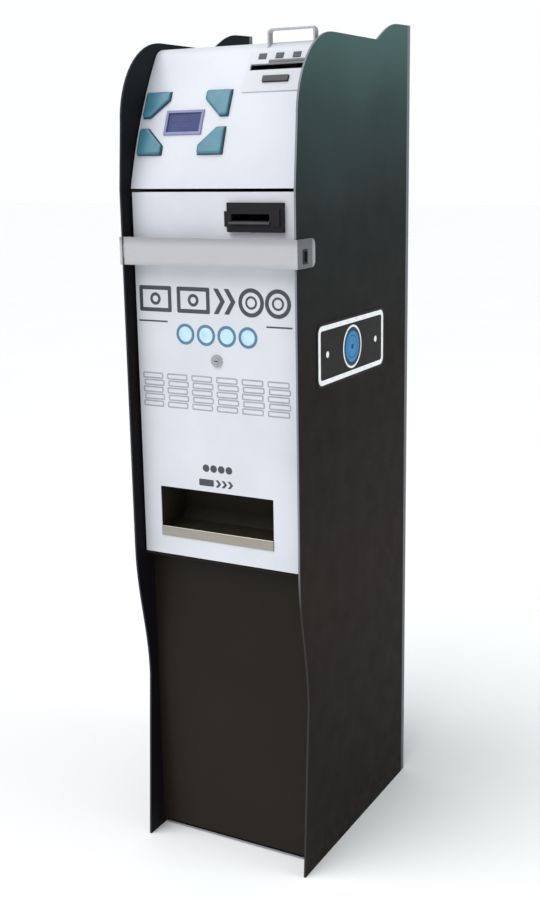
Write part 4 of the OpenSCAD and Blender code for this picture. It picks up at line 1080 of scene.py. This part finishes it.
def make_camera():
    yaw, pitch, roll = (math.radians(angle) for angle in (CAMERA_YAW, CAMERA_PITCH, CAMERA_ROLL))
    ahead = Vector((-math.sin(yaw) * math.cos(pitch), math.cos(yaw) * math.cos(pitch), -math.sin(pitch)))
    level = Vector((math.cos(yaw), math.sin(yaw), 0))
    up = level.cross(ahead)
    right = level * math.cos(roll) + up * math.sin(roll)
    up = up * math.cos(roll) - level * math.sin(roll)
    data = bpy.data.cameras.new("camera")
    data.lens = CAMERA_LENS
    data.sensor_width = CAMERA_SENSOR
    data.clip_start, data.clip_end = 0.05, 2 * FLOOR_REACH
    camera = add_object("camera", data)
    matrix = Matrix((right, up, -ahead)).transposed().to_4x4()
    matrix.translation = CAMERA_PLACE
    camera.matrix_world = matrix
    bpy.context.scene.camera = camera


def point(lamp, direction):
    lamp.rotation_euler = Vector(direction).to_track_quat("-Z", "Y").to_euler()


def area_light(name, place, target, size, power, colour=(1, 1, 1)):
    data = bpy.data.lights.new(name, "AREA")
    data.shape = "RECTANGLE"
    data.size, data.size_y = size
    data.energy = power
    data.color = colour
    lamp = add_object(name, data)
    lamp.location = place
    point(lamp, Vector(target) - Vector(place))


def sun(direction, strength, spread_deg):
    data = bpy.data.lights.new("softbox_key", "SUN")
    data.energy = strength
    data.angle = math.radians(spread_deg)
    point(add_object("softbox_key", data), direction)


def make_floor():
    bm = bmesh.new()
    corners = [(-1, -1), (1, -1), (1, 1), (-1, 1)]
    bm.faces.new([bm.verts.new((x * FLOOR_REACH, y * FLOOR_REACH, 0.0)) for x, y in corners])
    floor = add_object("floor", mesh_from("floor", bm))
    paper = Shader("floor_paper", 0.8, Specular_IOR_Level=0.1)
    paper.colour(paper.blend(paper.noise(1.5, 2), rgb(245, 245, 246), rgb(249, 249, 250)))
    paper.roughness(0.8, 0.05)
    floor.data.materials.append(paper.material)


def make_world(seen, cast):
    """A white backdrop that is seen at one strength and lights the object at a lower one."""
    world = bpy.data.worlds.new("studio")
    world.use_nodes = True
    tree = world.node_tree
    background = tree.nodes["Background"]
    background.inputs["Color"].default_value = (0.97, 0.985, 1.0, 1)
    rays = tree.nodes.new("ShaderNodeLightPath")
    strength = tree.nodes.new("ShaderNodeMapRange")
    strength.inputs["To Min"].default_value = cast
    strength.inputs["To Max"].default_value = seen
    tree.links.new(rays.outputs["Is Camera Ray"], strength.inputs["Value"])
    tree.links.new(strength.outputs["Result"], background.inputs["Strength"])
    bpy.context.scene.world = world


make_camera()
make_floor()
make_world(seen=1.02, cast=0.5)
sun(direction=(0.26, 0.52, -0.81), strength=2.25, spread_deg=60)
area_light("top_light", (2.6, 0.3, 3.0), (0.2, 0, 1.4), (1.6, 1.6), 26, (0.82, 1.0, 0.97))
area_light("left_light", (-3.0, -1.6, 2.0), (0, 0, 1.0), (1.6, 2.6), 8)
bpy.context.scene.view_settings.view_transform = "Standard"
